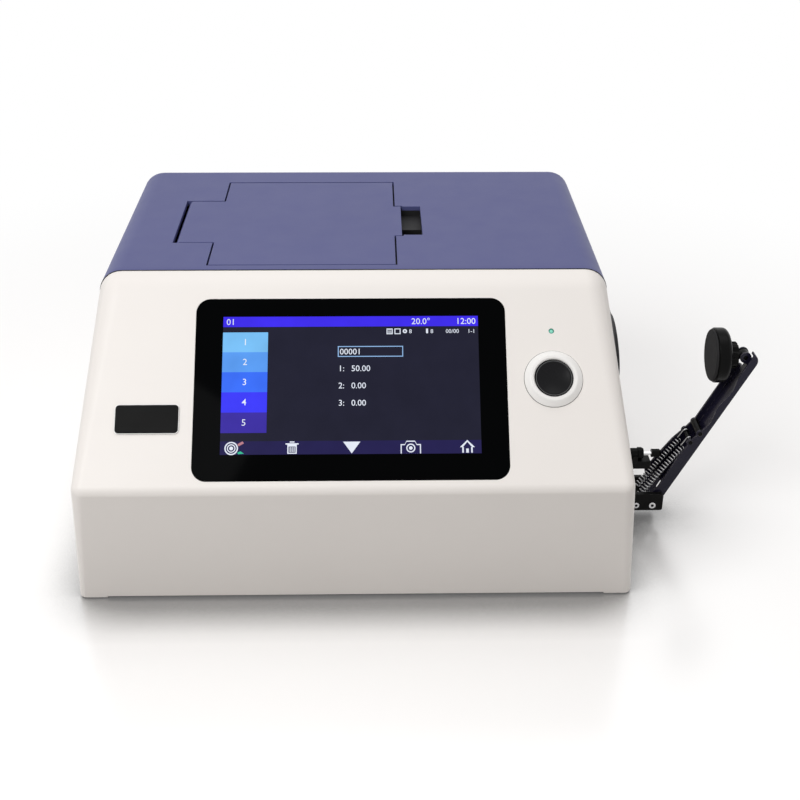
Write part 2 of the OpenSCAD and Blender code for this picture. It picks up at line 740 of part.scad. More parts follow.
// Measure button, its flared ring and switch
bezel_in = button_r + 0.4;
module button_bezel() {
    color([0.93, 0.93, 0.92]) on_panel() translate([button_x, button_s, 0]) rotate_extrude()
        polygon([[bezel_in, -wall], [button_r + 1.8, -wall], [button_r + 1.8, 0], [ring_r, 0],
            [ring_r, 0.6], [ring_r - 0.9, 1.4], [ring_r - 2.2, ring_h - 1.0],
            [ring_r - 3.0, ring_h - 0.3], [ring_r - 3.8, ring_h], [bezel_in + 0.7, ring_h],
            [bezel_in, ring_h - 0.7]]);
}
module measure_button() {
    top = ring_h - 1;
    color([0.10, 0.10, 0.11]) on_panel() translate([button_x, button_s, 0]) union() {
        rotate_extrude() polygon(concat([[0, -wall], [button_r, -wall], [button_r, top - 0.5],
            [button_r - 0.5, top]],
            [for (i = [0:8]) let(r = (button_r - 1.2) * (1 - i / 8))
                [r, top - 1.3 * (1 - pow(r / (button_r - 1.2), 2))]]));
        translate([0, 0, -wall - 2.6]) cylinder(h = 3, r = 3);
    }
}
switch_top = -wall - 2.6 - button_travel - 0.2;
module button_switch() {
    color([0.08, 0.30, 0.18]) on_panel() translate([button_x, button_s, 0]) {
        translate([-6, -6, switch_top - 5]) cube([12, 12, 5]);
        translate([-8, -18, switch_top - 5 - board_t]) cube([25, 41, board_t]);
        translate([-2.4, 0, switch_top - 5 - board_t]) cube([19.4, led_rise + 5.5, board_t]);
        translate([0, 0, switch_top - cut]) cylinder(h = cut + 0.1, r = 2.4);
        for (p = [[-5, -14.5], [13, -10], [-4, 19], [13, 32]]) translate([p[0], p[1], switch_top - 5])
            cylinder(h = -wall - seat - switch_top + 5, r = 3);
    }
}
module status_led() {
    color([0.2, 0.8, 0.5]) on_panel() translate([button_x, button_s + led_rise, 0]) {
        translate([0, 0, switch_top - 5]) cylinder(h = -switch_top + 4.4, r = led_r);
        translate([0, 0, switch_top - 5]) cylinder(h = 3, r = led_r + 0.8);
    }
}

// Base
plate_edge = wall + 1;
module base_plate() {
    x1 = side_x(plate_z0) - plate_edge;
    y0 = skirt_foot_y + plate_edge;
    y1 = rear_y - plate_edge;
    color([0.55, 0.56, 0.58]) difference() {
        translate([0, (y0 + y1) / 2, plate_z0]) linear_extrude(plate_t)
            rounded_plate(2 * x1, y1 - y0, rear_edge_r - 2);
        for (x = [-boss_x, boss_x], y = [boss_y0, boss_y1])
            translate([x, y, 0]) cylinder(h = 20, r = screw_r + 0.3);
        for (i = [0:11]) translate([-60 + 10 * i, 40, 0]) cube([4, 40, 20]);
    }
}
foot_r = 11;
foot_x = base_half - 42;
foot_y0 = skirt_foot_y + 34;
foot_y1 = rear_y - 36;
module rubber_feet() {
    color([0.08, 0.08, 0.08]) {
        for (x = [-foot_x, foot_x], y = [foot_y0, foot_y1]) translate([x, y, 0]) foot();
        foot();
    }
}
module foot() {
    rotate_extrude() polygon([[0, 0], [foot_r - 1, 0], [foot_r, plate_z0], [0, plate_z0]]);
}
module base_screws() {
    color("silver") for (x = [-boss_x, boss_x], y = [boss_y0, boss_y1]) translate([x, y, 0]) {
        translate([0, 0, plate_z0 - 2]) cylinder(h = 2, r = 2 * screw_r);
        translate([0, 0, plate_z0 - 1]) cylinder(h = 12, r = screw_r - 0.05);
    }
}

// Measuring port on the right side
module port_flange() {
    color([0.10, 0.10, 0.11]) on_port() difference() {
        union() {
            rotate_extrude() polygon([[0, 0], [port_flange_r, 0], [port_flange_r, port_flange_t - 1.5],
                [port_flange_r - 1.5, port_flange_t], [0, port_flange_t]]);
            translate([0, 0, -wall - 1]) cylinder(h = wall + 2, r = port_neck_r);
        }
        translate([0, 0, -far / 2]) cylinder(h = far, r = aperture_r + 1.5);
        translate([0, 0, port_flange_t - 1.5]) cylinder(h = 10, r = aperture_ring_r + 0.1);
        for (a = [45:90:359]) rotate([0, 0, a]) translate([port_flange_r - 5, 0, 0])
            cylinder(h = 10, r1 = 1.6, r2 = 1.6);
    }
}
module aperture_ring() {
    color([0.72, 0.72, 0.74]) on_port() translate([0, 0, port_flange_t - 1.5]) difference() {
        rotate_extrude() polygon([[0, 0], [aperture_ring_r, 0], [aperture_ring_r, aperture_ring_t + 0.7],
            [aperture_ring_r - 0.8, aperture_ring_t + 1.5], [0, aperture_ring_t + 1.5]]);
        translate([0, 0, -cut]) cylinder(h = 20, r = aperture_r);
    }
}

// Rear connectors
panel_t = 1.5;
inlet_x = rear_panel_x + 42;
usb_x = rear_panel_x + 18;
serial_x = rear_panel_x - 10;
rocker_x = rear_panel_x - 40;
rocker_w = 13;
rocker_h = 19;
module rear_panel() {
    color([0.13, 0.13, 0.14]) difference() {
        translate([rear_panel_x, rear_y - panel_t / 2, rear_panel_z])
            cube([rear_panel_w, panel_t, rear_panel_h], center = true);
        translate([inlet_x, 0, rear_panel_z]) along_y(rear_y - 5, rear_y + 5, 5.7);
        translate([usb_x, rear_y, rear_panel_z]) cube([12.6, 10, 11.4], center = true);
        translate([serial_x, rear_y, rear_panel_z]) cube([19.4, 10, 11], center = true);
        translate([rocker_x, rear_y, rear_panel_z]) cube([rocker_w + 0.4, 10, rocker_h + 0.4], center = true);
        for (x = [-1, 1], z = [-1, 1]) translate([rear_panel_x + x * (rear_panel_w / 2 - 2), 0,
            rear_panel_z + z * (rear_panel_h / 2 - 2)]) along_y(rear_y - 5, rear_y + 5, 0.9);
    }
}
module rear_screws() {
    color("silver") for (x = [-1, 1], z = [-1, 1]) translate([rear_panel_x + x * (rear_panel_w / 2 - 2), 0,
        rear_panel_z + z * (rear_panel_h / 2 - 2)]) {
        along_y(rear_y - panel_t, rear_y + 0.3, 0.85);
        along_y(rear_y, rear_y + 1.2, 1.7);
    }
}
module dc_inlet() {
    color([0.07, 0.07, 0.07]) translate([inlet_x, 0, rear_panel_z]) {
        difference() {
            union() {
                along_y(rear_y - 14, rear_y + 1, 5.5);
                along_y(rear_y, rear_y + 1.4, 7);
                along_y(rear_y - panel_t - 2, rear_y - panel_t, 7);
            }
            along_y(rear_y - 9, rear_y + 5, 2.9);
        }
        along_y(rear_y - 10, rear_y - 0.5, 1);
    }
}
module usb_port() {
    color([0.70, 0.71, 0.73]) translate([usb_x, rear_y, rear_panel_z]) {
        difference() {
            translate([-6, -14, -5.4]) cube([12, 14.6, 10.8]);
            translate([-5, -10, -4.4]) cube([10, 12, 8.8]);
        }
        translate([-2.8, -10.5, -1.6]) cube([5.6, 9, 3.2]);
        translate([-7.5, -panel_t - 1.5, -7]) difference() {
            cube([15, 1.5, 14]);
            translate([1.5, -cut, 1.6]) cube([12, 5, 10.8]);
        }
    }
}
module serial_port() {
    color([0.68, 0.69, 0.71]) translate([serial_x, rear_y, rear_panel_z]) {
        difference() {
            union() {
                translate([-9.4, -12, -5.2]) cube([18.8, 17, 10.4]);
                translate([-15.5, 0, -6.2]) cube([31, 1, 12.4]);
            }
            translate([0, 10, 0]) rotate([90, 0, 0]) linear_extrude(12)
                polygon([[-8.4, 4.2], [8.4, 4.2], [7.2, -4.2], [-7.2, -4.2]]);
        }
        for (i = [0:4]) translate([-5.5 + 2.75 * i, 0, 1.4]) along_y(-2.5, 3.5, 0.5);
        for (i = [0:3]) translate([-4.1 + 2.75 * i, 0, -1.4]) along_y(-2.5, 3.5, 0.5);
        for (s = [-1, 1]) translate([s * 12.5, 0, 0]) along_y(0.5, 5, 2.4);
    }
}
rocker_pivot_y = rear_y - 3.5;
module rocker_frame() {
    color([0.06, 0.06, 0.06]) translate([rocker_x, 0, rear_panel_z]) difference() {
        union() {
            translate([-rocker_w / 2, rear_y - 14, -rocker_h / 2]) cube([rocker_w, 14.5, rocker_h]);
            translate([-rocker_w / 2 - 1.5, rear_y, -rocker_h / 2 - 1.5])
                cube([rocker_w + 3, 1.5, rocker_h + 3]);
        }
        translate([-rocker_w / 2 + 1.5, rear_y - 8, -rocker_h / 2 + 1.5])
            cube([rocker_w - 3, 20, rocker_h - 3]);
        translate([0, rocker_pivot_y, 0]) rotate([0, 90, 0])
            cylinder(h = rocker_w + 2, r = 1.25, center = true);
    }
}
module power_rocker() {
    key_w = rocker_w - 3 - 0.8;
    color([0.09, 0.09, 0.09]) translate([rocker_x, rocker_pivot_y, rear_panel_z]) {
        rotate([0, 90, 0]) cylinder(h = rocker_w - 0.4, r = 1.2, center = true);
        rotate([90, 0, 90]) linear_extrude(key_w, center = true)
            polygon([[-1.8, -2.4], [-1.8, 2.4], [2.2, 7.2], [4.2, 7.0], [5.0, 6.4], [4.3, 0],
                [6.6, -6.4], [6.0, -7.2], [3.6, -7.2]]);
    }
}

// Arm bracket on the right side: two cheeks and a back against the side
bracket_gap = arm_w + 2 * play;
bracket_y0 = port_y - bracket_gap / 2 - bracket_t;
bracket_y1 = port_y + bracket_gap / 2 + bracket_t;
anchor_x = pivot_x - anchor_run;
anchor_z = pivot_z + 0.1;
module arm_bracket() {
    color([0.08, 0.08, 0.09]) difference() {
        union() {
            for (y = [bracket_y0, bracket_y1 - bracket_t]) cheek(y);
            difference() {
                translate([0, bracket_y1, 0]) rotate([90, 0, 0])
                    linear_extrude(bracket_y1 - bracket_y0) bracket_side();
                translate([side_x(0) + bracket_t, bracket_y0 + bracket_t, bracket_z0 - cut])
                    cube([far, bracket_gap, far]);
            }
            back_ears();
        }
        translate([pivot_x, 0, pivot_z]) along_y(bracket_y0 - cut, bracket_y1 + cut, pivot_r + 0.01);
        translate([anchor_x, 0, anchor_z]) along_y(bracket_y0 - cut, bracket_y1 + cut, hook_pin_r + 0.01);
        for (y = [bracket_y0 - 5, bracket_y1 + 5]) translate([side_x(pivot_z), y, pivot_z])
            rotate([0, 90 - side_draft, 0]) translate([0, 0, -5]) cylinder(h = 20, r = 1.8);
    }
}
module cheek(y) {
    translate([0, y + bracket_t, 0]) rotate([90, 0, 0]) linear_extrude(bracket_t) bracket_side();
}
module bracket_side() {
    polygon([[side_x(bracket_z0), bracket_z0], [bracket_x1 - 1, bracket_z0], [bracket_x1, bracket_z0 + 1],
        [bracket_x1, bracket_z1 - 1.5], [bracket_x1 - 1.5, bracket_z1], [side_x(bracket_z1), bracket_z1]]);
}
module back_ears() {
    translate([side_x(bracket_z0), 0, bracket_z0]) rotate([0, -side_draft, 0])
        translate([0, bracket_y0 - 10, 0]) cube([2.5, bracket_y1 - bracket_y0 + 20, bracket_z1 - bracket_z0]);
}
module bracket_screws() {
    color("silver") for (y = [bracket_y0 - 5, bracket_y1 + 5]) translate([side_x(pivot_z), y, pivot_z])
        rotate([0, 90 - side_draft, 0]) {
            translate([0, 0, 0.1]) cylinder(h = 3, r = 1.75);
            translate([0, 0, 2.5]) cylinder(h = 1.8, r = 3.2);
        }
}
pin_lip = 0.7;
module arm_pivot_pin() {
    color("silver") translate([pivot_x, 0, pivot_z]) {
        along_y(bracket_y0 - 0.2, bracket_y1 + 0.2, pivot_r);
        along_y(bracket_y0 - 1, bracket_y0, pivot_r + pin_lip);
        along_y(bracket_y1, bracket_y1 + 1, pivot_r + pin_lip);
    }
}
module spring_anchor_pin() {
    color("silver") translate([anchor_x, 0, anchor_z]) {
        along_y(bracket_y0 - 0.2, bracket_y1 + 0.2, hook_pin_r);
        along_y(bracket_y0 - 1, bracket_y0, hook_pin_r + pin_lip);
        along_y(bracket_y1, bracket_y1 + 1, hook_pin_r + pin_lip);
    }
}

// Swinging arm: a channel with deep flanges beside the springs
tail_r = 4.8;
pin_v = -2.2;
tip_r = 6;
curl_v = web_v - tip_r;
tip_v = pin_v + 1.8;
lobe_r = hook_pin_r + 1.1;
spacer_u = spring_run + 8.6;
spacer_v = 0.4;
spacer_r = 2.6;
bar_v = -1.8;
web_u0 = 12;
lip_v = web_v - arm_t - 2.6;
rear_lip_v = -0.6;
wave_u0 = spring_run + 7;
wave_u1 = arm_run - 12;
rear_end = arm_run - 9;
// Eye plates at the tip, on either side of the presser's swivel
barrel_half = 3;
eye_in = barrel_half + play;
eye_out = eye_in + 1.2;
eye_r = 3.8;
curl_w = 6;
// Flange seen from the side, from the pivot up. edge is its inner edge, top its outer end.
module flange_outline(edge, top) {
    union() {
        circle(tail_r);
        polygon(concat([[-tail_r + 0.6, 0], [tail_r, 0], [web_v, web_u0], [web_v, top]], edge));
        translate([bar_v, spring_run]) circle(lobe_r);
        translate([spacer_v, spacer_u]) circle(lobe_r);
    }
}
FRONT_EDGE = concat([[tip_v, arm_run], [tip_v, arm_run - 7]],
    [for (i = [0:12 * flange_waves]) let(t = i / (12 * flange_waves))
        [lip_v - wave_h * cos(360 * flange_waves * t) / 2, wave_u1 + (wave_u0 - wave_u1) * t]],
    [[-1.8, spring_run + 4], [-3.2, 40], [-2.6, web_u0], [-tail_r, 6]]);
REAR_EDGE = [[web_v - arm_t, rear_end], [rear_lip_v, rear_end - 5], [rear_lip_v, spring_run + 11.4],
    [-2.9, spring_run + 1], [-6, 43], [-7.8, 30.6], [-flange_low, 16], [-flange_low, 13],
    [-flange_low + 2, 10.5], [-tail_r, 8]];
module swing_arm() {
    color([0.10, 0.10, 0.16]) on_arm() difference() {
        union() {
            translate([0, -arm_w / 2 + arm_t, 0]) rotate([90, 0, 0]) linear_extrude(arm_t) {
                flange_outline(FRONT_EDGE, arm_run);
                intersection() {
                    translate([curl_v, arm_run]) circle(tip_r);
                    translate([tip_v, arm_run - 1]) square(far);
                }
            }
            translate([0, arm_w / 2, 0]) rotate([90, 0, 0]) linear_extrude(arm_t)
                flange_outline(REAR_EDGE, rear_end);
            translate([web_v - arm_t, -arm_w / 2, web_u0]) cube([arm_t, arm_w, rear_end - web_u0]);
            translate([web_v - arm_t, -arm_w / 2, web_u0])
                cube([arm_t, arm_w / 2 + eye_out, arm_run - web_u0]);
            translate([curl_v, -arm_w / 2, arm_run]) arm_end();
            for (y = [-eye_in, eye_out]) translate([pin_v, y, arm_run]) eye_plate();
        }
        along_y(-arm_w, arm_w, pivot_r + run_fit);
        translate([pin_v, 0, arm_run]) along_y(-eye_out - cut, eye_out + cut, presser_pin_r + 0.01);
        translate([bar_v, 0, spring_run]) along_y(-arm_w, arm_w, hook_pin_r + 0.01);
        translate([spacer_v, 0, spacer_u]) along_y(-arm_w, arm_w, 1.6);
    }
}
// The front of the web curls over the tip
module arm_end() {
    intersection() {
        rotate([-90, 0, 0]) difference() {
            cylinder(h = curl_w, r = tip_r);
            translate([0, 0, -cut]) cylinder(h = curl_w + 2 * cut, r = tip_r - arm_t);
        }
        translate([tip_v - curl_v, -cut, -cut]) cube([far, curl_w + 2 * cut, far]);
    }
}
module eye_plate() {
    rotate([90, 0, 0]) linear_extrude(eye_out - eye_in) union() {
        circle(eye_r);
        translate([0, -eye_r]) square([web_v - arm_t / 2 - pin_v, eye_r]);
    }
}
module spring_crossbar() {
    color([0.07, 0.07, 0.08]) on_arm() translate([bar_v, 0, spring_run])
        along_y(-arm_w / 2 - 0.2, arm_w / 2 + 0.2, hook_pin_r);
}
module arm_spacer() {
    color([0.07, 0.07, 0.08]) on_arm() translate([spacer_v, 0, spacer_u]) {
        along_y(-arm_w / 2 + arm_t, arm_w / 2 - arm_t, spacer_r);
        along_y(-arm_w / 2 - 0.2, arm_w / 2 + 0.2, 1.55);
    }
}

// Arm springs: each one unbroken wire with a hook at either end, along the line between its pins
bar_point = arm_point(spring_run, bar_v);
spring_dx = bar_point[0] - anchor_x;
spring_dz = bar_point[2] - anchor_z;
spring_len = norm([spring_dx, spring_dz]);
spring_lean = atan2(spring_dx, spring_dz);
wire_r = wire_d / 2;
coil_r = spring_d / 2 - wire_r;
hook_r = hook_pin_r + wire_r + 0.25;
coil_z0 = hook_r + 4;
coil_z1 = spring_len - hook_r - 4;
coil_rings = 8;
hook_steps = 9;
lead_steps = 4;
// Half circle round a pin, from its far side round to the coil's axis
function hook_points(z, dir) = [for (i = [0:hook_steps]) let(a = -60 + 240 * i / hook_steps)
    [hook_r * cos(a), 0, z - dir * hook_r * sin(a)]];
function ease(t) = t * t * (3 - 2 * t);
// From the end of a hook to the start of the coil
function lead_points(z0, z1, ang) = [for (i = [1:lead_steps]) let(t = i / (lead_steps + 1))
    [-hook_r + (coil_r * cos(ang) + hook_r) * ease(t), coil_r * sin(ang) * ease(t), z0 + (z1 - z0) * t]];
function coil_points() = [for (i = [0:spring_turns * coil_rings]) let(a = 180 + 360 * i / coil_rings)
    [coil_r * cos(a), coil_r * sin(a), coil_z0 + (coil_z1 - coil_z0) * i / (spring_turns * coil_rings)]];
function flip(p) = [for (i = [len(p) - 1:-1:0]) p[i]];
wire_path = concat(hook_points(0, 1), lead_points(0, coil_z0, 180), coil_points(),
    flip(concat(hook_points(spring_len, -1), lead_points(spring_len, coil_z1, 180))));
function unit(v) = v / norm(v);
function heading(p, i) = unit(p[min(i + 1, len(p) - 1)] - p[max(i - 1, 0)]);
// Frames carried along the path, so that the tube doesn't twist
function carried(n, t) = unit(n - (n * t) * t);
function frames(p, i, n) = i >= len(p) ? [] : let(t = heading(p, i), m = carried(n, t))
    concat([[m, cross(t, m)]], frames(p, i + 1, m));
module tube(p, r, sides) {
    f = frames(p, 0, [0.1, 1, 0.05]);
    count = len(p);
    points = [for (i = [0:count - 1], k = [0:sides - 1]) let(a = 360 * k / sides)
        p[i] + r * cos(a) * f[i][0] + r * sin(a) * f[i][1]];
    sides_faces = [for (i = [0:count - 2], k = [0:sides - 1]) let(
        a = i * sides + k,
        b = i * sides + (k + 1) % sides)
        each [[a, b, b + sides], [a, b + sides, a + sides]]];
    first = [for (k = [1:sides - 2]) [0, k + 1, k]];
    last = [for (k = [1:sides - 2]) let(o = (count - 1) * sides) [o, o + k, o + k + 1]];
    polyhedron(points, concat(sides_faces, first, last), convexity = 10);
}
// Least gap of the wire to itself, between points at least one ring of the coil apart
wire_gap = min([for (i = [0:3:len(wire_path) - 1], j = [i + 6:1:len(wire_path) - 1])
    norm(wire_path[i] - wire_path[j])]) - wire_d;
echo(least_gap_of_spring_wire = wire_gap);
module arm_spring(side) {
    color([0.75, 0.76, 0.78]) translate([anchor_x, port_y + side * spring_off, anchor_z])
        rotate([0, spring_lean, 0]) tube(wire_path, wire_r, 6);
}
module arm_spring_front() {
    arm_spring(-1);
}
module arm_spring_rear() {
    arm_spring(1);
}

// Presser: swivel on the arm's tip, fluted knob, disc and rubber face. Local z points at the arm.
presser_point = arm_point(arm_run, pin_v);
module on_presser() {
    translate(presser_point) rotate([0, 90, 0]) children();
}
swivel_r = 3.4;
head_gap = 0.2;
module presser_pin() {
    color([0.08, 0.08, 0.09]) translate([presser_point[0], 0, presser_point[2]]) {
        along_y(port_y - eye_out - 0.3, port_y + eye_out + 0.3, presser_pin_r);
    }
}
module presser_swivel() {
    color([0.07, 0.07, 0.08]) difference() {
        union() {
            translate([presser_point[0], 0, presser_point[2]]) along_y(port_y - barrel_half, port_y + barrel_half, swivel_r);
            on_presser() translate([0, 0, -neck_run]) cylinder(h = neck_run, r = swivel_r - 0.6);
            on_presser() translate([0, 0, -neck_run - knob_t - disc_t + 2])
                cylinder(h = knob_t + disc_t, r = spindle_r);
        }
        translate([presser_point[0], 0, presser_point[2]])
            along_y(port_y - barrel_half - cut, port_y + barrel_half + cut, presser_pin_r + run_fit);
    }
}
knob_z1 = -neck_run - head_gap;
module presser_knob() {
    color([0.08, 0.08, 0.09]) on_presser() translate([0, 0, knob_z1 - knob_t]) difference() {
        rotate_extrude() polygon([[0, 0], [knob_r, 0], [knob_r, knob_t - 1], [knob_r - 1, knob_t], [0, knob_t]]);
        translate([0, 0, -cut]) cylinder(h = knob_t + 2 * cut, r = spindle_r + run_fit);
        for (i = [0:knob_flutes - 1]) rotate([0, 0, 360 * i / knob_flutes])
            translate([knob_r + 1.6, 0, -cut]) cylinder(h = knob_t + 2 * cut, r = 3);
    }
}
disc_z1 = knob_z1 - knob_t;
module presser_disc() {
    color([0.07, 0.07, 0.08]) on_presser() translate([0, 0, disc_z1 - disc_t]) difference() {
        rotate_extrude() polygon(concat([[0, 0], [disc_r - 0.6, 0], [disc_r, 0.6]],
            [for (i = [0:6]) let(a = 15 * i) [disc_r - 5 + 5 * cos(a), disc_t - 4 + 4 * sin(a)]],
            [[0, disc_t]]));
        translate([0, 0, 1.2]) cylinder(h = disc_t, r = spindle_r + run_fit);
    }
}
module presser_pad() {
    color([0.12, 0.12, 0.12]) on_presser() translate([0, 0, disc_z1 - disc_t - pad_t])
        rotate_extrude() polygon([[0, 0], [disc_r - 1.6, 0], [disc_r - 1, 0.6], [disc_r - 1, pad_t], [0, pad_t]]);
}

// Damper that the closing arm meets
damper_x0 = side_x(damper_z);
module on_damper() {
    translate([0, port_y, damper_z]) rotate([0, 90, 0]) children();
}
rod_out = 7.6;
head_run = 6.3;
damper_x1 = damper_x0 + damper_run;
bar_t = 6;
module damper_body() {
    color([0.08, 0.08, 0.09]) difference() {
        union() {
            on_damper() translate([0, 0, damper_x0 + 3.3]) cylinder(h = damper_run - 3.3, r = damper_r);
            on_damper() translate([0, 0, damper_x1 - 4]) cylinder(h = 3, r = damper_r + 0.6);
        }
        on_damper() translate([0, 0, damper_x0 + 4]) cylinder(h = far, r = rod_r + run_fit);
    }
}
module damper_bracket() {
    bar_z1 = damper_z - damper_r - 0.6;
    low_z = bar_z1 - bar_t;
    color([0.08, 0.08, 0.09]) union() {
        translate([side_x(low_z), port_y - 4.4, low_z]) cube([damper_x1 + 5 - side_x(low_z), 8.8, bar_t]);
        translate([0, port_y + 7, 0]) rotate([90, 0, 0]) linear_extrude(14)
            polygon([[side_x(low_z - 4), low_z - 4], [side_x(low_z - 4) + 2.5, low_z - 4],
                [side_x(damper_z + 9) + 2.5, damper_z + 9], [side_x(damper_z + 9), damper_z + 9]]);
        for (x = [damper_x0 + 6, damper_x1 - 8]) difference() {
            translate([x, port_y - 4.4, bar_z1 - 0.5]) cube([4, 8.8, damper_r + 0.6]);
            on_damper() translate([0, 0, 0]) cylinder(h = far, r = damper_r + 0.01);
        }
    }
}
module damper_rod() {
    color("silver") on_damper() {
        translate([0, 0, damper_x0 + 12]) cylinder(h = damper_run - 12 + rod_out + 1, r = rod_r);
        translate([0, 0, damper_x1 + rod_out - 2]) rotate_extrude()
            polygon([[0, 0], [head_r, 0], [head_r, head_run - 1], [head_r - 0.8, head_run], [0, head_run]]);
    }
}

lower_housing();
top_cover();
base_plate();
rubber_feet();
base_screws();
screen_glass();
display_module();
display_board();
button_bezel();
measure_button();
button_switch();
status_led();
chamber_lid();
lid_hinge_pin();
lid_gasket();
sample_chamber();
transmission_port();
transmission_lens();
sphere_left();
sphere_right();
sphere_stand();
lamp_module();
reading_tube();
spectrometer();
spectrometer_stand();
main_board();
port_flange();
aperture_ring();
rear_panel();
rear_screws();
dc_inlet();
usb_port();
serial_port();
rocker_frame();
power_rocker();
arm_bracket();
bracket_screws();
arm_pivot_pin();
spring_anchor_pin();
swing_arm();
spring_crossbar();
arm_spacer();
arm_spring_front();
arm_spring_rear();
presser_pin();
presser_swivel();
presser_knob();
presser_disc();
presser_pad();
damper_bracket();
damper_body();
damper_rod();
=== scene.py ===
"""Looks of the benchtop colorimeter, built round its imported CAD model. Lengths are in metres,
apart from the sizes below and the profiles of small details, which are in millimetres."""
import math

import bpy
from mathutils import Matrix, Vector


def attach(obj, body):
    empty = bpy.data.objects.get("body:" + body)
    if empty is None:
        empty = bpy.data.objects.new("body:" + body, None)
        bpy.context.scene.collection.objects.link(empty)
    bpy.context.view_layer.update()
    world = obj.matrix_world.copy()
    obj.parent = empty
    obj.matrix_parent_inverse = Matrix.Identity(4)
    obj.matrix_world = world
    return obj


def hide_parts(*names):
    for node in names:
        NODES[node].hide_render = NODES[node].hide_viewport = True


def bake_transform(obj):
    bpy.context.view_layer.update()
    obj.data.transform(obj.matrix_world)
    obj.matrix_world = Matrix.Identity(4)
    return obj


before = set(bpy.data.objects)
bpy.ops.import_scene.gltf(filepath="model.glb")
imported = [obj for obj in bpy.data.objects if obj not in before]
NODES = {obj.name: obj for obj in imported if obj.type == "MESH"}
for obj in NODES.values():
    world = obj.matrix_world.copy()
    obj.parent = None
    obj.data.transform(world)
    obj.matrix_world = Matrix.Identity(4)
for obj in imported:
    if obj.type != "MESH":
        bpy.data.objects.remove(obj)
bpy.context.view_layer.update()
MM = 0.001

# ---------------------------------------------------------------- sizes
# As in the part's source, in mm. Housing and cover
SLOPE = math.radians(45.6)
DRAFT = math.radians(5.9)
FOLD_Y, FOLD_Z = -150.0, 97.2
BODY_H, BASE_HALF, TOP_R = 195.0, 176.5, 15.0
SEAM_Y = -47.93
# Panel: display, badge, button and light
GLASS_PROUD = 0.6
SCREEN_W, SCREEN_H, SCREEN_X, SCREEN_S = 154.2, 85.9, -1.85, 65.6
BADGE_W, BADGE_H, BADGE_X, BADGE_S = 38.2, 18.2, -122.7, 44.7
BUTTON_X, BUTTON_S, BUTTON_R, BUTTON_TOP = 119.8, 68.3, 11.4, 2.4
RING_R, LED_RISE = 17.5, 30.5
# Arm, its pins and its damper
PORT_Y = -25.9
PIVOT = Vector((204.2, PORT_Y, 13.9))
ANCHOR = Vector((193.0, 0.0, 14.0))
ARM_LEAN = math.radians(26.9)
PIN_REACH = 13.8
DAMPER_HEAD = 6.35

# Sizes of pieces that are only here, in mm
# Radius of the dark cord laid in the seam as its painted shade
SEAM_SHADE_CORD_R = 0.32
WIRE_R = 0.475
COIL_R = 2.3 - WIRE_R
HOOK_R = 1.5 + WIRE_R + 0.25
LEAD_LEN = 4
TURNS = 19
# Wide enough apart for the damper's head to pass between them when the arm closes
SPRING_OFF = 5.35

# Meshes
WELD_GAP = 0.000002
FLAT_ANGLE = math.radians(0.05)
BEVEL_ANGLE = math.radians(40)
SHARP_ANGLE = math.radians(32)

# Surfaces
# How far in from an edge the lighter colour of rubbed paint and painted sheen reaches
RUB_AND_SHEEN_REACH = 0.0006
# Painted shade deep in a narrow gap: how far the AO looks, and the colour of the shade
GAP_SHADE_REACH = 0.0014
GAP_SHADE_COLOUR = (0.006, 0.006, 0.008, 1)
BLACK, WHITE = (0, 0, 0, 1), (1, 1, 1, 1)


# ---------------------------------------------------------------- places
def panel(x, s, n=0.0):
    """A point on the sloped panel: x across, s up the slope from the fold, n out of it, in mm."""
    return Vector((x, FOLD_Y + s * math.cos(SLOPE) - n * math.sin(SLOPE),
                   FOLD_Z + s * math.sin(SLOPE) + n * math.cos(SLOPE))) * MM


def arm_point(u, v, y=0.0):
    """A point of the arm: u along it from the pivot, v out of its web, y off its middle, in mm."""
    return (PIVOT + Vector((u * math.sin(ARM_LEAN) + v * math.cos(ARM_LEAN), y,
                            u * math.cos(ARM_LEAN) - v * math.sin(ARM_LEAN)))) * MM


# The middle of the arm's bar, which holds the springs' upper hooks, in mm
BAR = arm_point(52.6, -1.8) / MM


# ---------------------------------------------------------------- materials
MATERIALS = {}


def srgb(r, g, b):
    """Linear colour of an 8-bit display colour."""
    def one(c):
        c /= 255.0
        return c / 12.92 if c <= 0.04045 else ((c + 0.055) / 1.055) ** 2.4
    return (one(r), one(g), one(b))


def shade(colour, k):
    """A colour made k times as bright, kept between 0 and 1."""
    return tuple(max(0.0, min(1.0, c * k)) for c in colour) + (1.0,)


def ramp(nodes, low, high, p0=0.0, p1=1.0):
    """A two-stop colour ramp."""
    r = nodes.new("ShaderNodeValToRGB")
    r.color_ramp.elements[0].position, r.color_ramp.elements[1].position = p0, p1
    r.color_ramp.elements[0].color, r.color_ramp.elements[1].color = low, high
    return r


def noise(nodes, links, coord, scale, detail=3.0, rough=0.55):
    """Noise in the object's own coordinates."""
    n = nodes.new("ShaderNodeTexNoise")
    n.inputs["Scale"].default_value = scale
    n.inputs["Detail"].default_value = detail
    n.inputs["Roughness"].default_value = rough
    links.new(coord.outputs["Object"], n.inputs["Vector"])
    return n


def mix_colour(nodes, links, factor, start, end):
    """The colour output that goes from the socket start to the plain colour end."""
    mix = nodes.new("ShaderNodeMix")
    mix.data_type = "RGBA"
    mix.inputs["B"].default_value = end
    links.new(factor, mix.inputs["Factor"])
    links.new(start, mix.inputs["A"])
    return mix.outputs["Result"]


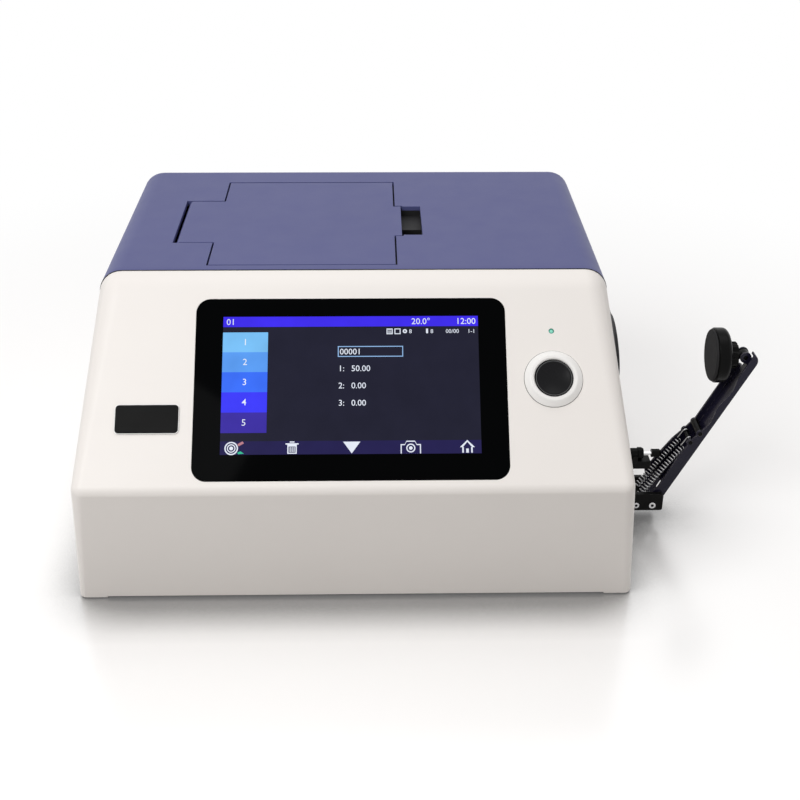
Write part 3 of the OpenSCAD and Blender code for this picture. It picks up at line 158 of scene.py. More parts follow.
def edge_rub_and_sheen(nodes, links, coord, colour_out, wear_and_sheen):
    """Lays a lighter colour on edges, in patches: rubbed paint, and painted sheen where light
    catches them.
    """
    bevel = nodes.new("ShaderNodeBevel")
    bevel.samples = 4
    bevel.inputs["Radius"].default_value = RUB_AND_SHEEN_REACH
    geometry = nodes.new("ShaderNodeNewGeometry")
    dot = nodes.new("ShaderNodeVectorMath")
    dot.operation = "DOT_PRODUCT"
    links.new(bevel.outputs["Normal"], dot.inputs[0])
    links.new(geometry.outputs["Normal"], dot.inputs[1])
    edge_mask = ramp(nodes, WHITE, BLACK, 0.90, 0.985)
    links.new(dot.outputs["Value"], edge_mask.inputs["Fac"])
    patch = noise(nodes, links, coord, 320.0, 2.0)
    patchy = ramp(nodes, BLACK, WHITE, 0.45, 0.62)
    links.new(patch.outputs["Fac"], patchy.inputs["Fac"])
    both = nodes.new("ShaderNodeMath")
    both.operation = "MULTIPLY"
    links.new(edge_mask.outputs["Color"], both.inputs[0])
    links.new(patchy.outputs["Color"], both.inputs[1])
    return mix_colour(nodes, links, both.outputs["Value"], colour_out, tuple(wear_and_sheen) + (1.0,))


def painted_gap_shade(nodes, links, colour_out):
    """Darkens what lies deep in a narrow gap: painted shade."""
    hidden = nodes.new("ShaderNodeAmbientOcclusion")
    hidden.samples = 6
    hidden.inputs["Distance"].default_value = GAP_SHADE_REACH
    deep = ramp(nodes, WHITE, BLACK, 0.28, 0.5)
    links.new(hidden.outputs["AO"], deep.inputs["Fac"])
    return mix_colour(nodes, links, deep.outputs["Color"], colour_out, GAP_SHADE_COLOUR)


def material(name, colour, rough=0.5, metal=0.0, spec=0.5, grain=2200.0, bump=0.12, depth=0.00004,
             vary=0.03, vary_scale=18.0, rough_vary=0.06, coat=0.0, coat_rough=0.1, streak=None,
             wear_and_sheen=None, gap_shade=False):
    """A procedural surface: colour that drifts a little, grain in the bump, uneven roughness.
    streak stretches the grain along an axis, as on drawn metal. Edges can take a lighter colour as
    rubbed paint and painted sheen. The gap option darkens what lies deep in a narrow gap, as
    painted shade."""
    m = bpy.data.materials.new(name)
    m.use_nodes = True
    nodes, links = m.node_tree.nodes, m.node_tree.links
    b = nodes["Principled BSDF"]
    b.inputs["Metallic"].default_value = metal
    b.inputs["Specular IOR Level"].default_value = spec
    b.inputs["Coat Weight"].default_value = coat
    b.inputs["Coat Roughness"].default_value = coat_rough
    coord = nodes.new("ShaderNodeTexCoord")
    big = noise(nodes, links, coord, vary_scale, 4.0)
    tint = ramp(nodes, shade(colour, 1 - vary), shade(colour, 1 + vary), 0.3, 0.7)
    links.new(big.outputs["Fac"], tint.inputs["Fac"])
    colour_out = tint.outputs["Color"]
    if wear_and_sheen:
        colour_out = edge_rub_and_sheen(nodes, links, coord, colour_out, wear_and_sheen)
    if gap_shade:
        colour_out = painted_gap_shade(nodes, links, colour_out)
    links.new(colour_out, b.inputs["Base Color"])
    spread = nodes.new("ShaderNodeMapRange")
    spread.inputs["To Min"].default_value = max(0.02, rough - rough_vary)
    spread.inputs["To Max"].default_value = min(1.0, rough + rough_vary)
    mid = noise(nodes, links, coord, vary_scale * 6, 3.0)
    links.new(mid.outputs["Fac"], spread.inputs["Value"])
    links.new(spread.outputs["Result"], b.inputs["Roughness"])
    if bump:
        fine = noise(nodes, links, coord, grain, 2.0)
        if streak:
            mapping = nodes.new("ShaderNodeMapping")
            mapping.inputs["Scale"].default_value = streak
            links.new(coord.outputs["Object"], mapping.inputs["Vector"])
            links.new(mapping.outputs["Vector"], fine.inputs["Vector"])
        bp = nodes.new("ShaderNodeBump")
        bp.inputs["Strength"].default_value = bump
        bp.inputs["Distance"].default_value = depth
        links.new(fine.outputs["Fac"], bp.inputs["Height"])
        links.new(bp.outputs["Normal"], b.inputs["Normal"])
    MATERIALS[name] = m


def glow(name, colour, strength=1.0, base=(0.002, 0.002, 0.003), rough=0.2, spec=0.02):
    """A lit surface: a picture element of the display, or the small light."""
    m = bpy.data.materials.new(name)
    m.use_nodes = True
    nodes, links = m.node_tree.nodes, m.node_tree.links
    b = nodes["Principled BSDF"]
    b.inputs["Base Color"].default_value = tuple(base) + (1.0,)
    b.inputs["Roughness"].default_value = rough
    b.inputs["Specular IOR Level"].default_value = spec
    coord = nodes.new("ShaderNodeTexCoord")
    n = noise(nodes, links, coord, 60.0, 2.0)
    tint = ramp(nodes, shade(colour, 0.92), shade(colour, 1.06), 0.3, 0.7)
    links.new(n.outputs["Fac"], tint.inputs["Fac"])
    links.new(tint.outputs["Color"], b.inputs["Emission Color"])
    b.inputs["Emission Strength"].default_value = strength
    MATERIALS[name] = m


# The housing and the cover are darkened deep in a narrow gap, as painted shade
material("housing_white", srgb(243, 239, 235), rough=0.42, spec=0.4, grain=2600, bump=0.10,
         vary=0.012, vary_scale=9, gap_shade=True)
material("cover_blue", srgb(84, 88, 136), rough=0.46, spec=0.24, grain=1300, bump=0.42,
         depth=0.00006, vary=0.02, vary_scale=10, gap_shade=True)
material("glass_black", (0.0012, 0.0014, 0.0016), rough=0.05, spec=0.01, bump=0.0, vary=0.1,
         rough_vary=0.02)
material("badge_black", (0.004, 0.004, 0.004), rough=0.22, spec=0.04, grain=3000, bump=0.04,
         vary=0.08)
material("badge_rim", srgb(250, 249, 248), rough=0.35, spec=0.4, grain=2600, bump=0.05, vary=0.01)
# Grey of the flat ring painted as the shade in the gap round the bezel's foot
material("gap_shade_grey", srgb(126, 124, 123), rough=0.5, spec=0.2, grain=2600, bump=0.05, vary=0.03)
material("rim_grey", (0.13, 0.13, 0.13), rough=0.25, metal=0.8, grain=2600, bump=0.05, vary=0.05)
material("ring_white", srgb(246, 245, 243), rough=0.30, spec=0.5, grain=2600, bump=0.05, vary=0.01)
material("button_black", (0.008, 0.008, 0.009), rough=0.26, spec=0.10, grain=2600, bump=0.06,
         vary=0.08)
material("liner_black", (0.012, 0.012, 0.013), rough=0.62, spec=0.3, grain=1500, bump=0.25,
         vary=0.08)
material("rubber_black", (0.018, 0.018, 0.019), rough=0.82, spec=0.25, grain=1200, bump=0.3,
         vary=0.1)
# The arm, the brackets and the anodised parts take lighter edges: rubbed paint and painted sheen
material("arm_paint", (0.013, 0.012, 0.028), rough=0.26, spec=0.14, grain=700, bump=0.10,
         depth=0.00006, vary=0.10, coat=0.14, coat_rough=0.12, wear_and_sheen=(0.18, 0.17, 0.18))
material("bracket_black", (0.007, 0.007, 0.007), rough=0.36, spec=0.08, grain=900, bump=0.14,
         vary=0.1, wear_and_sheen=(0.10, 0.10, 0.10))
material("moulded_black", (0.003, 0.003, 0.003), rough=0.26, spec=0.07, grain=1800, bump=0.08,
         vary=0.1)
material("steel_bright", (0.66, 0.66, 0.67), rough=0.24, metal=1.0, grain=1600, bump=0.10,
         vary=0.05, rough_vary=0.1)
material("spring_steel", (0.50, 0.50, 0.51), rough=0.20, metal=1.0, grain=1500, bump=0.10,
         vary=0.10, rough_vary=0.08)
material("chrome_rod", (0.82, 0.82, 0.83), rough=0.10, metal=1.0, grain=1200, bump=0.04,
         vary=0.02, streak=(1, 20, 20))
material("zinc_plate", (0.58, 0.59, 0.60), rough=0.38, metal=1.0, grain=260, bump=0.10,
         vary=0.12, vary_scale=60, rough_vary=0.14)
material("anodised_black", (0.020, 0.020, 0.022), rough=0.40, metal=0.6, grain=1600, bump=0.12,
         vary=0.08, wear_and_sheen=(0.12, 0.12, 0.12))
material("satin_aluminium", (0.70, 0.70, 0.71), rough=0.30, metal=1.0, grain=1500, bump=0.12,
         vary=0.04, streak=(40, 1, 1))
material("sphere_grey", (0.60, 0.60, 0.59), rough=0.45, metal=0.7, grain=900, bump=0.15, vary=0.05)
material("board_green", (0.010, 0.085, 0.040), rough=0.35, spec=0.5, grain=700, bump=0.15,
         vary=0.2, vary_scale=260)
material("shell_plated", (0.68, 0.69, 0.70), rough=0.22, metal=1.0, grain=1500, bump=0.06,
         vary=0.03)
material("slot_dark", (0.004, 0.004, 0.004), rough=0.7, spec=0.2, grain=1500, bump=0.05, vary=0.1)
glow("led_green", srgb(150, 222, 202), 0.75, base=(0.05, 0.16, 0.12), rough=0.3, spec=0.2)
glow("led_edge", srgb(36, 140, 118), 0.6, base=(0.02, 0.12, 0.09), rough=0.3, spec=0.2)
SCREEN_COLOURS = {
    "screen_dark": (34, 34, 50), "screen_bar": (64, 46, 240), "screen_low": (38, 34, 80),
    "screen_white": (232, 238, 252), "screen_pale": (150, 190, 236),
    "screen_tab_1": (122, 192, 246), "screen_tab_2": (92, 158, 244),
    "screen_tab_3": (60, 112, 250), "screen_tab_4": (62, 60, 248), "screen_tab_5": (62, 48, 164),
    "screen_pink": (190, 130, 140), "screen_teal": (60, 190, 150),
}
for screen_name, screen_rgb in SCREEN_COLOURS.items():
    glow(screen_name, srgb(*screen_rgb))


# ---------------------------------------------------------------- how the CAD nodes look
def smooth_group():
    """Node group that shades smooth, with the edges sharper than SHARP_ANGLE kept sharp."""
    g = bpy.data.node_groups.new("smooth_by_angle", "GeometryNodeTree")
    for direction in ("INPUT", "OUTPUT"):
        g.interface.new_socket("Geometry", in_out=direction, socket_type="NodeSocketGeometry")
    group_in, group_out = g.nodes.new("NodeGroupInput"), g.nodes.new("NodeGroupOutput")
    faces = g.nodes.new("GeometryNodeSetShadeSmooth")
    edges = g.nodes.new("GeometryNodeSetShadeSmooth")
    edges.domain = "EDGE"
    edges.inputs["Shade Smooth"].default_value = False
    angle = g.nodes.new("GeometryNodeInputMeshEdgeAngle")
    sharper = g.nodes.new("FunctionNodeCompare")
    sharper.data_type = "FLOAT"
    sharper.operation = "GREATER_THAN"
    sharper.inputs[1].default_value = SHARP_ANGLE
    g.links.new(angle.outputs["Unsigned Angle"], sharper.inputs[0])
    g.links.new(group_in.outputs[0], faces.inputs["Geometry"])
    g.links.new(faces.outputs["Geometry"], edges.inputs["Geometry"])
    g.links.new(sharper.outputs["Result"], edges.inputs["Selection"])
    g.links.new(edges.outputs["Geometry"], group_out.inputs[0])
    return g


SMOOTH = smooth_group()


def finish_mesh(o, bevel=0.0, weld=True):
    """Welds, rounds edges by a small bevel and shades smooth between sharp edges."""
    if weld:
        w = o.modifiers.new("weld", "WELD")
        w.merge_threshold = WELD_GAP
        d = o.modifiers.new("flatten", "DECIMATE")
        d.decimate_type = "DISSOLVE"
        d.angle_limit = FLAT_ANGLE
    if bevel:
        b = o.modifiers.new("edges", "BEVEL")
        b.width = bevel
        b.segments = 2
        b.limit_method = "ANGLE"
        b.angle_limit = BEVEL_ANGLE
        b.use_clamp_overlap = True
    s = o.modifiers.new("smooth", "NODES")
    s.node_group = SMOOTH
    n = o.modifiers.new("normals", "WEIGHTED_NORMAL")
    n.keep_sharp = True


# Each node's material and the bevel of its edges, in mm
NODE_LOOKS = {
    "lower_housing": ("housing_white", 0.5), "top_cover": ("cover_blue", 0.4),
    "base_plate": ("zinc_plate", 0.3), "rubber_feet": ("rubber_black", 0.4),
    "base_screws": ("steel_bright", 0.2), "screen_glass": ("glass_black", 0.0),
    "display_module": ("zinc_plate", 0.3), "display_board": ("board_green", 0.0),
    "button_bezel": ("ring_white", 0.0), "measure_button": ("button_black", 0.0),
    "button_switch": ("board_green", 0.0), "status_led": ("led_green", 0.3),
    "chamber_lid": ("cover_blue", 0.4), "lid_hinge_pin": ("steel_bright", 0.1),
    "lid_gasket": ("rubber_black", 0.2), "sample_chamber": ("liner_black", 0.4),
    "transmission_port": ("satin_aluminium", 0.2), "transmission_lens": ("anodised_black", 0.3),
    "sphere_left": ("sphere_grey", 0.3), "sphere_right": ("sphere_grey", 0.3),
    "sphere_stand": ("anodised_black", 0.3), "lamp_module": ("anodised_black", 0.2),
    "reading_tube": ("anodised_black", 0.2), "spectrometer": ("anodised_black", 0.6),
    "spectrometer_stand": ("zinc_plate", 0.3), "main_board": ("board_green", 0.0),
    "port_flange": ("anodised_black", 0.3), "aperture_ring": ("anodised_black", 0.2),
    "rear_panel": ("anodised_black", 0.2), "rear_screws": ("steel_bright", 0.2),
    "dc_inlet": ("moulded_black", 0.2), "usb_port": ("shell_plated", 0.1),
    "serial_port": ("shell_plated", 0.1), "rocker_frame": ("moulded_black", 0.2),
    "power_rocker": ("moulded_black", 0.2), "arm_bracket": ("bracket_black", 0.3),
    "bracket_screws": ("steel_bright", 0.3), "arm_pivot_pin": ("steel_bright", 0.3),
    "spring_anchor_pin": ("steel_bright", 0.3), "swing_arm": ("arm_paint", 0.3),
    "spring_crossbar": ("moulded_black", 0.2), "arm_spacer": ("moulded_black", 0.3),
    "presser_pin": ("moulded_black", 0.5), "presser_swivel": ("moulded_black", 0.2),
    "presser_knob": ("moulded_black", 0.2), "presser_disc": ("moulded_black", 0.2),
    "presser_pad": ("rubber_black", 0.3), "damper_bracket": ("bracket_black", 0.3),
    "damper_body": ("moulded_black", 0.3), "damper_rod": ("chrome_rod", 0.2),
}


def dress_nodes():
    """Gives each node its material and its edges."""
    for node_name, (mat_name, bevel) in NODE_LOOKS.items():
        node = NODES[node_name]
        node.data.materials.clear()
        node.data.materials.append(MATERIALS[mat_name])
        finish_mesh(node, bevel * MM)


dress_nodes()


def blacken_damper_head():
    """The head on the end of the damper's bright rod is black."""
    mesh = NODES["damper_rod"].data
    mesh.materials.append(MATERIALS["moulded_black"])
    start = max(v.co.x for v in mesh.vertices) - DAMPER_HEAD * MM
    for p in mesh.polygons:
        if p.center.x > start:
            p.material_index = 1


blacken_damper_head()


# ---------------------------------------------------------------- mesh helpers
def new_piece(name, verts, faces, mats, body, face_mats=None):
    """A mesh piece. It rides on a body unless body is None."""
    mesh = bpy.data.meshes.new(name)
    mesh.from_pydata([tuple(v) for v in verts], [], faces)
    mesh.validate()
    o = bpy.data.objects.new(name, mesh)
    bpy.context.scene.collection.objects.link(o)
    for m in mats:
        mesh.materials.append(MATERIALS[m])
    if face_mats:
        for p, k in zip(mesh.polygons, face_mats):
            p.material_index = k
    if body:
        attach(o, body)
    return o


def lathe(profile, steps):
    """Vertices and faces of a profile [(radius, height)] turned round local z."""
    verts, faces = [], []
    for i in range(steps):
        a = 2 * math.pi * i / steps
        for r, z in profile:
            verts.append(Vector((r * math.cos(a), r * math.sin(a), z)))
    k = len(profile)
    for i in range(steps):
        j = (i + 1) % steps
        for p in range(k - 1):
            faces.append((i * k + p, j * k + p, j * k + p + 1, i * k + p + 1))
    return verts, faces


def turned_piece(name, centre, normal, profile, mats, body, steps):
    """A turned detail at a point in metres, looking along a normal. Its profile is in mm."""
    verts, faces = lathe(profile, steps)
    turn = Vector(normal).to_track_quat("Z", "Y").to_matrix().to_4x4()
    place = Matrix.Translation(Vector(centre))
    verts = [place @ turn @ (v * MM) for v in verts]
    return new_piece(name, verts, faces, mats, body)


def rounded_loop(w, h, r, steps):
    """Points of a rounded rectangle, anticlockwise."""
    out = []
    for cx, cy, a0 in ((w / 2 - r, h / 2 - r, 0), (-w / 2 + r, h / 2 - r, 90),
                       (-w / 2 + r, -h / 2 + r, 180), (w / 2 - r, -h / 2 + r, 270)):
        for i in range(steps + 1):
            a = math.radians(a0 + 90 * i / steps)
            out.append((cx + r * math.cos(a), cy + r * math.sin(a)))
    return out


def tube(points, radius, sides=12):
    """Vertices and faces of a closed round tube along points, with carried frames."""
    verts, faces = [], []
    n = Vector((0.1, 1, 0.05))
    count = len(points)
    for i, p in enumerate(points):
        t = (points[min(i + 1, count - 1)] - points[max(i - 1, 0)]).normalized()
        n = (n - n.dot(t) * t).normalized()
        b = t.cross(n)
        for k in range(sides):
            a = 2 * math.pi * k / sides
            verts.append(p + radius * (math.cos(a) * n + math.sin(a) * b))
    for i in range(count - 1):
        for k in range(sides):
            j = (k + 1) % sides
            faces.append((i * sides + k, i * sides + j,
                          (i + 1) * sides + j, (i + 1) * sides + k))
    faces.append(tuple(range(sides - 1, -1, -1)))
    faces.append(tuple(range((count - 1) * sides, count * sides)))
    return verts, faces


# ---------------------------------------------------------------- the picture on the display
ASPECT = SCREEN_W / SCREEN_H
# Height of the picture's ground over the glass and of each layer over the one below, in mm
PICTURE_RISE, LAYER_RISE = 0.02, 0.012
# The font's size for digits that are 1 high, and how much thicker its strokes are made
DIGIT_SIZE, DIGIT_WEIGHT = 1.38, 0.002
# Heights of the numerals in the readout and among the small signs, in shares of the picture's
READOUT_H, SIGN_H = 0.044, 0.030


class Picture:
    """Flat shapes in the picture area. u runs from the left and v from the top, both 0 to 1."""

    def __init__(self):
        self.verts, self.faces, self.kinds, self.mats = [], [], [], []

    def kind(self, mat):
        """The material's index in the piece."""
        if mat not in self.mats:
            self.mats.append(mat)
        return self.mats.index(mat)

    def point(self, u, v, layer):
        """A place in the picture, on one of its layers."""
        return panel(SCREEN_X + (u - 0.5) * SCREEN_W, SCREEN_S + (0.5 - v) * SCREEN_H,
                     GLASS_PROUD + PICTURE_RISE + LAYER_RISE * layer)

    def poly(self, points, mat, layer=1):
        """A flat shape, its corners anticlockwise."""
        start = len(self.verts)
        self.verts += [self.point(u, v, layer) for u, v in points]
        self.faces.append(tuple(range(start, start + len(points))))
        self.kinds.append(self.kind(mat))

    def box(self, u0, v0, u1, v1, mat, layer=1):
        """A filled rectangle."""
        self.poly([(u0, v1), (u1, v1), (u1, v0), (u0, v0)], mat, layer)

    def frame(self, u0, v0, u1, v1, t, mat, layer=2):
        """A rectangle's outline, t thick."""
        tv = t * ASPECT
        self.box(u0, v0, u1, v0 + tv, mat, layer)
        self.box(u0, v1 - tv, u1, v1, mat, layer)
        self.box(u0, v0 + tv, u0 + t, v1 - tv, mat, layer)
        self.box(u1 - t, v0 + tv, u1, v1 - tv, mat, layer)

    def disc(self, u, v, r0, r1, mat, layer=2, steps=28):
        """A ring or disc with radii in shares of the picture's width."""
        for i in range(steps):
            p, q = (math.radians(360.0 * j / steps) for j in (i, i + 1))
            quad = [(u + r1 * math.cos(a), v - r1 * ASPECT * math.sin(a)) for a in (p, q)]
            inner = [(u + r0 * math.cos(a), v - r0 * ASPECT * math.sin(a)) for a in (q, p)]
            self.poly(quad + inner if r0 > 0 else quad + [(u, v)], mat, layer)

    def text(self, body, u, v, height, align="LEFT"):
        """Plain white numerals. height is a share of the picture's height."""
        curve = bpy.data.curves.new("numerals", "FONT")
        curve.body = body
        curve.size = height * SCREEN_H * DIGIT_SIZE
        curve.align_x = align
        curve.resolution_u = 3
        curve.offset = DIGIT_WEIGHT * curve.size
        temp = bpy.data.objects.new("numerals", curve)
        bpy.context.scene.collection.objects.link(temp)
        bpy.context.view_layer.update()
        mesh = temp.evaluated_get(bpy.context.evaluated_depsgraph_get()).to_mesh()
        start, kind = len(self.verts), self.kind("screen_white")
        for w in mesh.vertices:
            self.verts.append(self.point(u + w.co.x / SCREEN_W, v - w.co.y / SCREEN_H, 3))
        for p in mesh.polygons:
            self.faces.append(tuple(start + i for i in p.vertices))
            self.kinds.append(kind)
        temp.to_mesh_clear()
        bpy.data.objects.remove(temp)
        bpy.data.curves.remove(curve)


def draw_bar_and_tabs(p):
    """The bar across the top and the five tabs down the left side, with their numerals."""
    p.box(0, 0, 1, 0.076, "screen_bar")
    tabs = [0.116, 0.262, 0.408, 0.554, 0.700, 0.846]
    for i in range(5):
        p.box(0.0, tabs[i], 0.176, tabs[i + 1], f"screen_tab_{i + 1}")
    for i in range(5):
        p.text(str(i + 1), 0.088, tabs[i] + 0.094, 0.048, "CENTER")
    p.text("01", 0.012, 0.060, 0.046)
    p.text("20.0°", 0.775, 0.060, 0.046, "CENTER")
    p.text("12:00", 0.952, 0.060, 0.046, "CENTER")


def draw_small_signs(p):
    """The row of small signs under the bar."""
    p.frame(0.640, 0.092, 0.664, 0.134, 0.0035, "screen_white")
    for i in range(3):
        p.box(0.645, 0.100 + 0.0105 * i, 0.659, 0.104 + 0.0105 * i, "screen_white", 2)
    p.frame(0.671, 0.092, 0.695, 0.134, 0.0035, "screen_white")
    p.disc(0.712, 0.112, 0.0035, 0.0085, "screen_white")
    p.text("8", 0.728, 0.127, SIGN_H)
    p.box(0.795, 0.094, 0.803, 0.128, "screen_white", 2)
    p.text("8", 0.812, 0.127, SIGN_H)
    p.text("00/00", 0.872, 0.127, SIGN_H)
    p.text("1-1", 0.958, 0.127, SIGN_H)


def draw_readout(p):
    """The framed number and the three lines of values."""
    p.frame(0.449, 0.221, 0.704, 0.300, 0.0034, "screen_pale")
    p.text("00001", 0.456, 0.282, READOUT_H)
    for i, (label, value) in enumerate((("1:", "50.00"), ("2:", "0.00"), ("3:", "0.00"))):
        v = 0.405 + 0.125 * i
        p.text(label, 0.451, v, READOUT_H)
        p.text(value, 0.501, v, READOUT_H)


def draw_lower_bar(p):
    """The lower bar and its signs: rings with two flakes, bin, triangle, camera and house."""
    p.box(0, 0.905, 1, 1, "screen_low")
    p.disc(0.043, 0.955, 0.021, 0.026, "screen_white")
    p.disc(0.043, 0.955, 0.0125, 0.0165, "screen_white")
    p.disc(0.043, 0.955, 0, 0.0075, "screen_white")
    p.poly([(0.066, 0.925), (0.086, 0.905), (0.091, 0.920), (0.071, 0.940)], "screen_pink", 2)
    p.poly([(0.066, 0.985), (0.078, 0.975), (0.092, 0.992), (0.070, 0.996)], "screen_teal", 2)
    p.box(0.257, 0.930, 0.293, 0.995, "screen_white", 2)
    p.box(0.2615, 0.944, 0.2885, 0.988, "screen_low", 3)
    for u in (0.266, 0.2735, 0.281):
        p.box(u, 0.948, u + 0.0035, 0.984, "screen_white", 4)
    p.box(0.250, 0.921, 0.300, 0.930, "screen_white", 2)
    p.box(0.266, 0.908, 0.284, 0.916, "screen_white", 2)
    p.poly([(0.503, 0.995), (0.536, 0.912), (0.470, 0.912)], "screen_white", 2)
    # Camera and house: a white shape, and a smaller one in the bar's colour on it
    for mat, layer, g in (("screen_white", 2, 0.0), ("screen_low", 3, 0.0042)):
        k = g * ASPECT
        p.poly([(0.690 + g, 0.998), (0.690 + g, 0.932 + k), (0.706, 0.932 + k),
                (0.713, 0.908 + k), (0.745, 0.908 + k), (0.752, 0.932 + k),
                (0.768 - g, 0.932 + k), (0.768 - g, 0.998)], mat, layer)
    p.disc(0.729, 0.960, 0.013, 0.0175, "screen_white", 4)
    p.disc(0.729, 0.960, 0, 0.007, "screen_white", 4)
    for mat, layer, g in (("screen_white", 2, 0.0), ("screen_low", 3, 0.006)):
        k = g * ASPECT
        p.poly([(0.917 + g * 1.9, 0.956), (0.946, 0.905 + k * 1.2), (0.975 - g * 1.9, 0.956),
                (0.966 - g, 0.956), (0.966 - g, 0.995), (0.926 + g, 0.995),
                (0.926 + g, 0.956)], mat, layer)
    p.box(0.941, 0.966, 0.951, 0.995, "screen_white", 4)


def build_picture():
    """The lit picture, a thin stack of flat shapes on the glass."""
    p = Picture()
    p.box(0, 0, 1, 1, "screen_dark", 0)
    draw_bar_and_tabs(p)
    draw_small_signs(p)
    draw_readout(p)
    draw_lower_bar(p)
    new_piece("screen_picture", p.verts, p.faces, p.mats, "root", p.kinds)


build_picture()


# ---------------------------------------------------------------- badge plate, bare
def build_badge():
    """A black plate with a bright raised rim. It carries nothing."""
    # How much smaller each ring of the plate is, its corner radius and its height
    rings = [(0.0, 2.6, 0.0), (0.0, 2.6, 0.5), (0.3, 2.5, 0.66), (0.8, 2.3, 0.66),
             (0.9, 2.2, 0.60), (1.2, 2.1, 0.60)]
    verts, faces, kinds = [], [], []
    loops = []
    for less, radius, height in rings:
        loop = rounded_loop(BADGE_W - less, BADGE_H - less, radius, 6)
        loops.append(range(len(verts), len(verts) + len(loop)))
        verts += [panel(BADGE_X + x, BADGE_S + s, height) for x, s in loop]
    for k, (outer, inner) in enumerate(zip(loops, loops[1:])):
        for i in range(len(outer)):
            j = (i + 1) % len(outer)
            faces.append((outer[i], outer[j], inner[j], inner[i]))
            kinds.append(1 if 1 <= k <= 2 else 0)
    faces.append(tuple(loops[-1]))
    kinds.append(0)
    o = new_piece("badge_plate", verts, faces, ["badge_black", "badge_rim"], "root",
                  kinds)
    finish_mesh(o, weld=False)


build_badge()


# ---------------------------------------------------------------- arm springs
def spring_hook(z, d):
    """A hook of 240 degrees round a pin at height z, open towards d."""
    out = []
    steps = 18
    for i in range(steps + 1):
        a = math.radians(-60 + 240 * i / steps)
        out.append(Vector((HOOK_R * math.cos(a), 0, z - d * HOOK_R * math.sin(a))))
    return out


def spring_lead(start, end):
    """The wire's way from a hook to the coil's radius."""
    out = []
    steps = 9
    for i in range(1, steps):
        t = i / steps
        ease = t * t * (3 - 2 * t)
        out.append(Vector((-HOOK_R + (HOOK_R - COIL_R) * ease, 0, start + (end - start) * t)))
    return out


def spring_line():
    """The wire's middle in the spring's own frame: z runs from the anchor pin to the bar."""
    run = math.hypot(BAR.x - ANCHOR.x, BAR.z - ANCHOR.z)
    z0, z1 = HOOK_R + LEAD_LEN, run - HOOK_R - LEAD_LEN
    coil = []
    steps = 24
    for i in range(TURNS * steps + 1):
        a = math.pi + 2 * math.pi * i / steps
        coil.append(Vector((COIL_R * math.cos(a), COIL_R * math.sin(a),
                            z0 + (z1 - z0) * i / (TURNS * steps))))
    return (spring_hook(0, 1) + spring_lead(0, z0) + coil
            + (spring_hook(run, -1) + spring_lead(run, z1))[::-1])


def build_spring(name, side, node_name):
    """One spring, which stretches between the anchor pin and the arm's bar."""
    lean = math.atan2(BAR.x - ANCHOR.x, BAR.z - ANCHOR.z)
    turn = Matrix.Rotation(lean, 4, "Y")
    place = Matrix.Translation(Vector((ANCHOR.x, PORT_Y + side * SPRING_OFF, ANCHOR.z)))
    verts, faces = tube(spring_line(), WIRE_R)
    verts = [(place @ turn @ v) * MM for v in verts]
    o = new_piece(name, verts, faces, ["spring_steel"], None)
    finish_mesh(o, weld=False)
    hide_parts(node_name)
    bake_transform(o)


build_spring("spring_front", -1, "arm_spring_front")
build_spring("spring_rear", 1, "arm_spring_rear")


# ---------------------------------------------------------------- small details on CAD parts
def build_sockets():
    """Hexagon sockets in the heads of the bracket's two pins, at both ends."""
    for name, pin, r in (("pivot", PIVOT, 1.05), ("anchor", ANCHOR, 0.95)):
        for side, d in (("front", -1), ("rear", 1)):
            centre = Vector((pin.x, PORT_Y + d * PIN_REACH, pin.z)) * MM
            o = turned_piece(f"{name}_socket_{side}", centre, (0, d, 0),
                             [(0.0, 0.03), (r, 0.03), (r + 0.15, 0.0)], ["slot_dark"], "root",
                             6)
            finish_mesh(o, weld=False)


build_sockets()


def build_button_lines():
    """Painted shade of the gap round the bezel's foot, the button's bright rim and the edge of the
    light's lens.
    """
    normal = panel(0, 0, 1) - panel(0, 0, 0)
    for name, centre, profile, mat, body, slot in (
            # A flat grey ring: the painted shade of the gap round the bezel's foot
            ("bezel_gap_shade", panel(BUTTON_X, BUTTON_S),
             [(RING_R - 0.2, 0.02), (RING_R + 0.35, 0.02)],
             "gap_shade_grey", "root", "housing_plastic"),
            ("button_rim", panel(BUTTON_X, BUTTON_S, BUTTON_TOP),
             [(BUTTON_R - 0.85, 0.02), (BUTTON_R - 0.55, 0.03)],
             "rim_grey", "button", "button_plastic"),
            ("light_edge", panel(BUTTON_X, BUTTON_S + LED_RISE, -0.58),
             [(1.0, 0.0), (1.48, 0.12)],
             "led_edge", "root", "led_lens")):
        turned_piece(name, centre, normal, profile, [mat], body, 56)


build_button_lines()


def build_seam_shade_cord():
    """A dark cord in the seam between brow and cover as its painted shade, across the top and down
    its edges.
    """
    corner_z = BODY_H - TOP_R
    corner_x = BASE_HALF - corner_z * math.tan(DRAFT) - TOP_R / math.cos(DRAFT)
    reach = TOP_R - SEAM_SHADE_CORD_R - 0.02
    tail = 2.8
    steps = 14
    arc = [DRAFT + (math.pi / 2 - DRAFT) * i / steps for i in range(steps + 1)]
    right = [Vector((corner_x + reach * math.cos(a), SEAM_Y, corner_z + reach * math.sin(a)))
             for a in arc]
    foot = right[0] + Vector((math.tan(DRAFT) * tail, 0, -tail))
    right = [foot] + right
    left = [Vector((-p.x, p.y, p.z)) for p in right]
    verts, faces = tube([p * MM for p in right + left[::-1]], SEAM_SHADE_CORD_R * MM, 8)
    o = new_piece("seam_shade_cord", verts, faces, ["rubber_black"], "root")
    finish_mesh(o, weld=False)


build_seam_shade_cord()


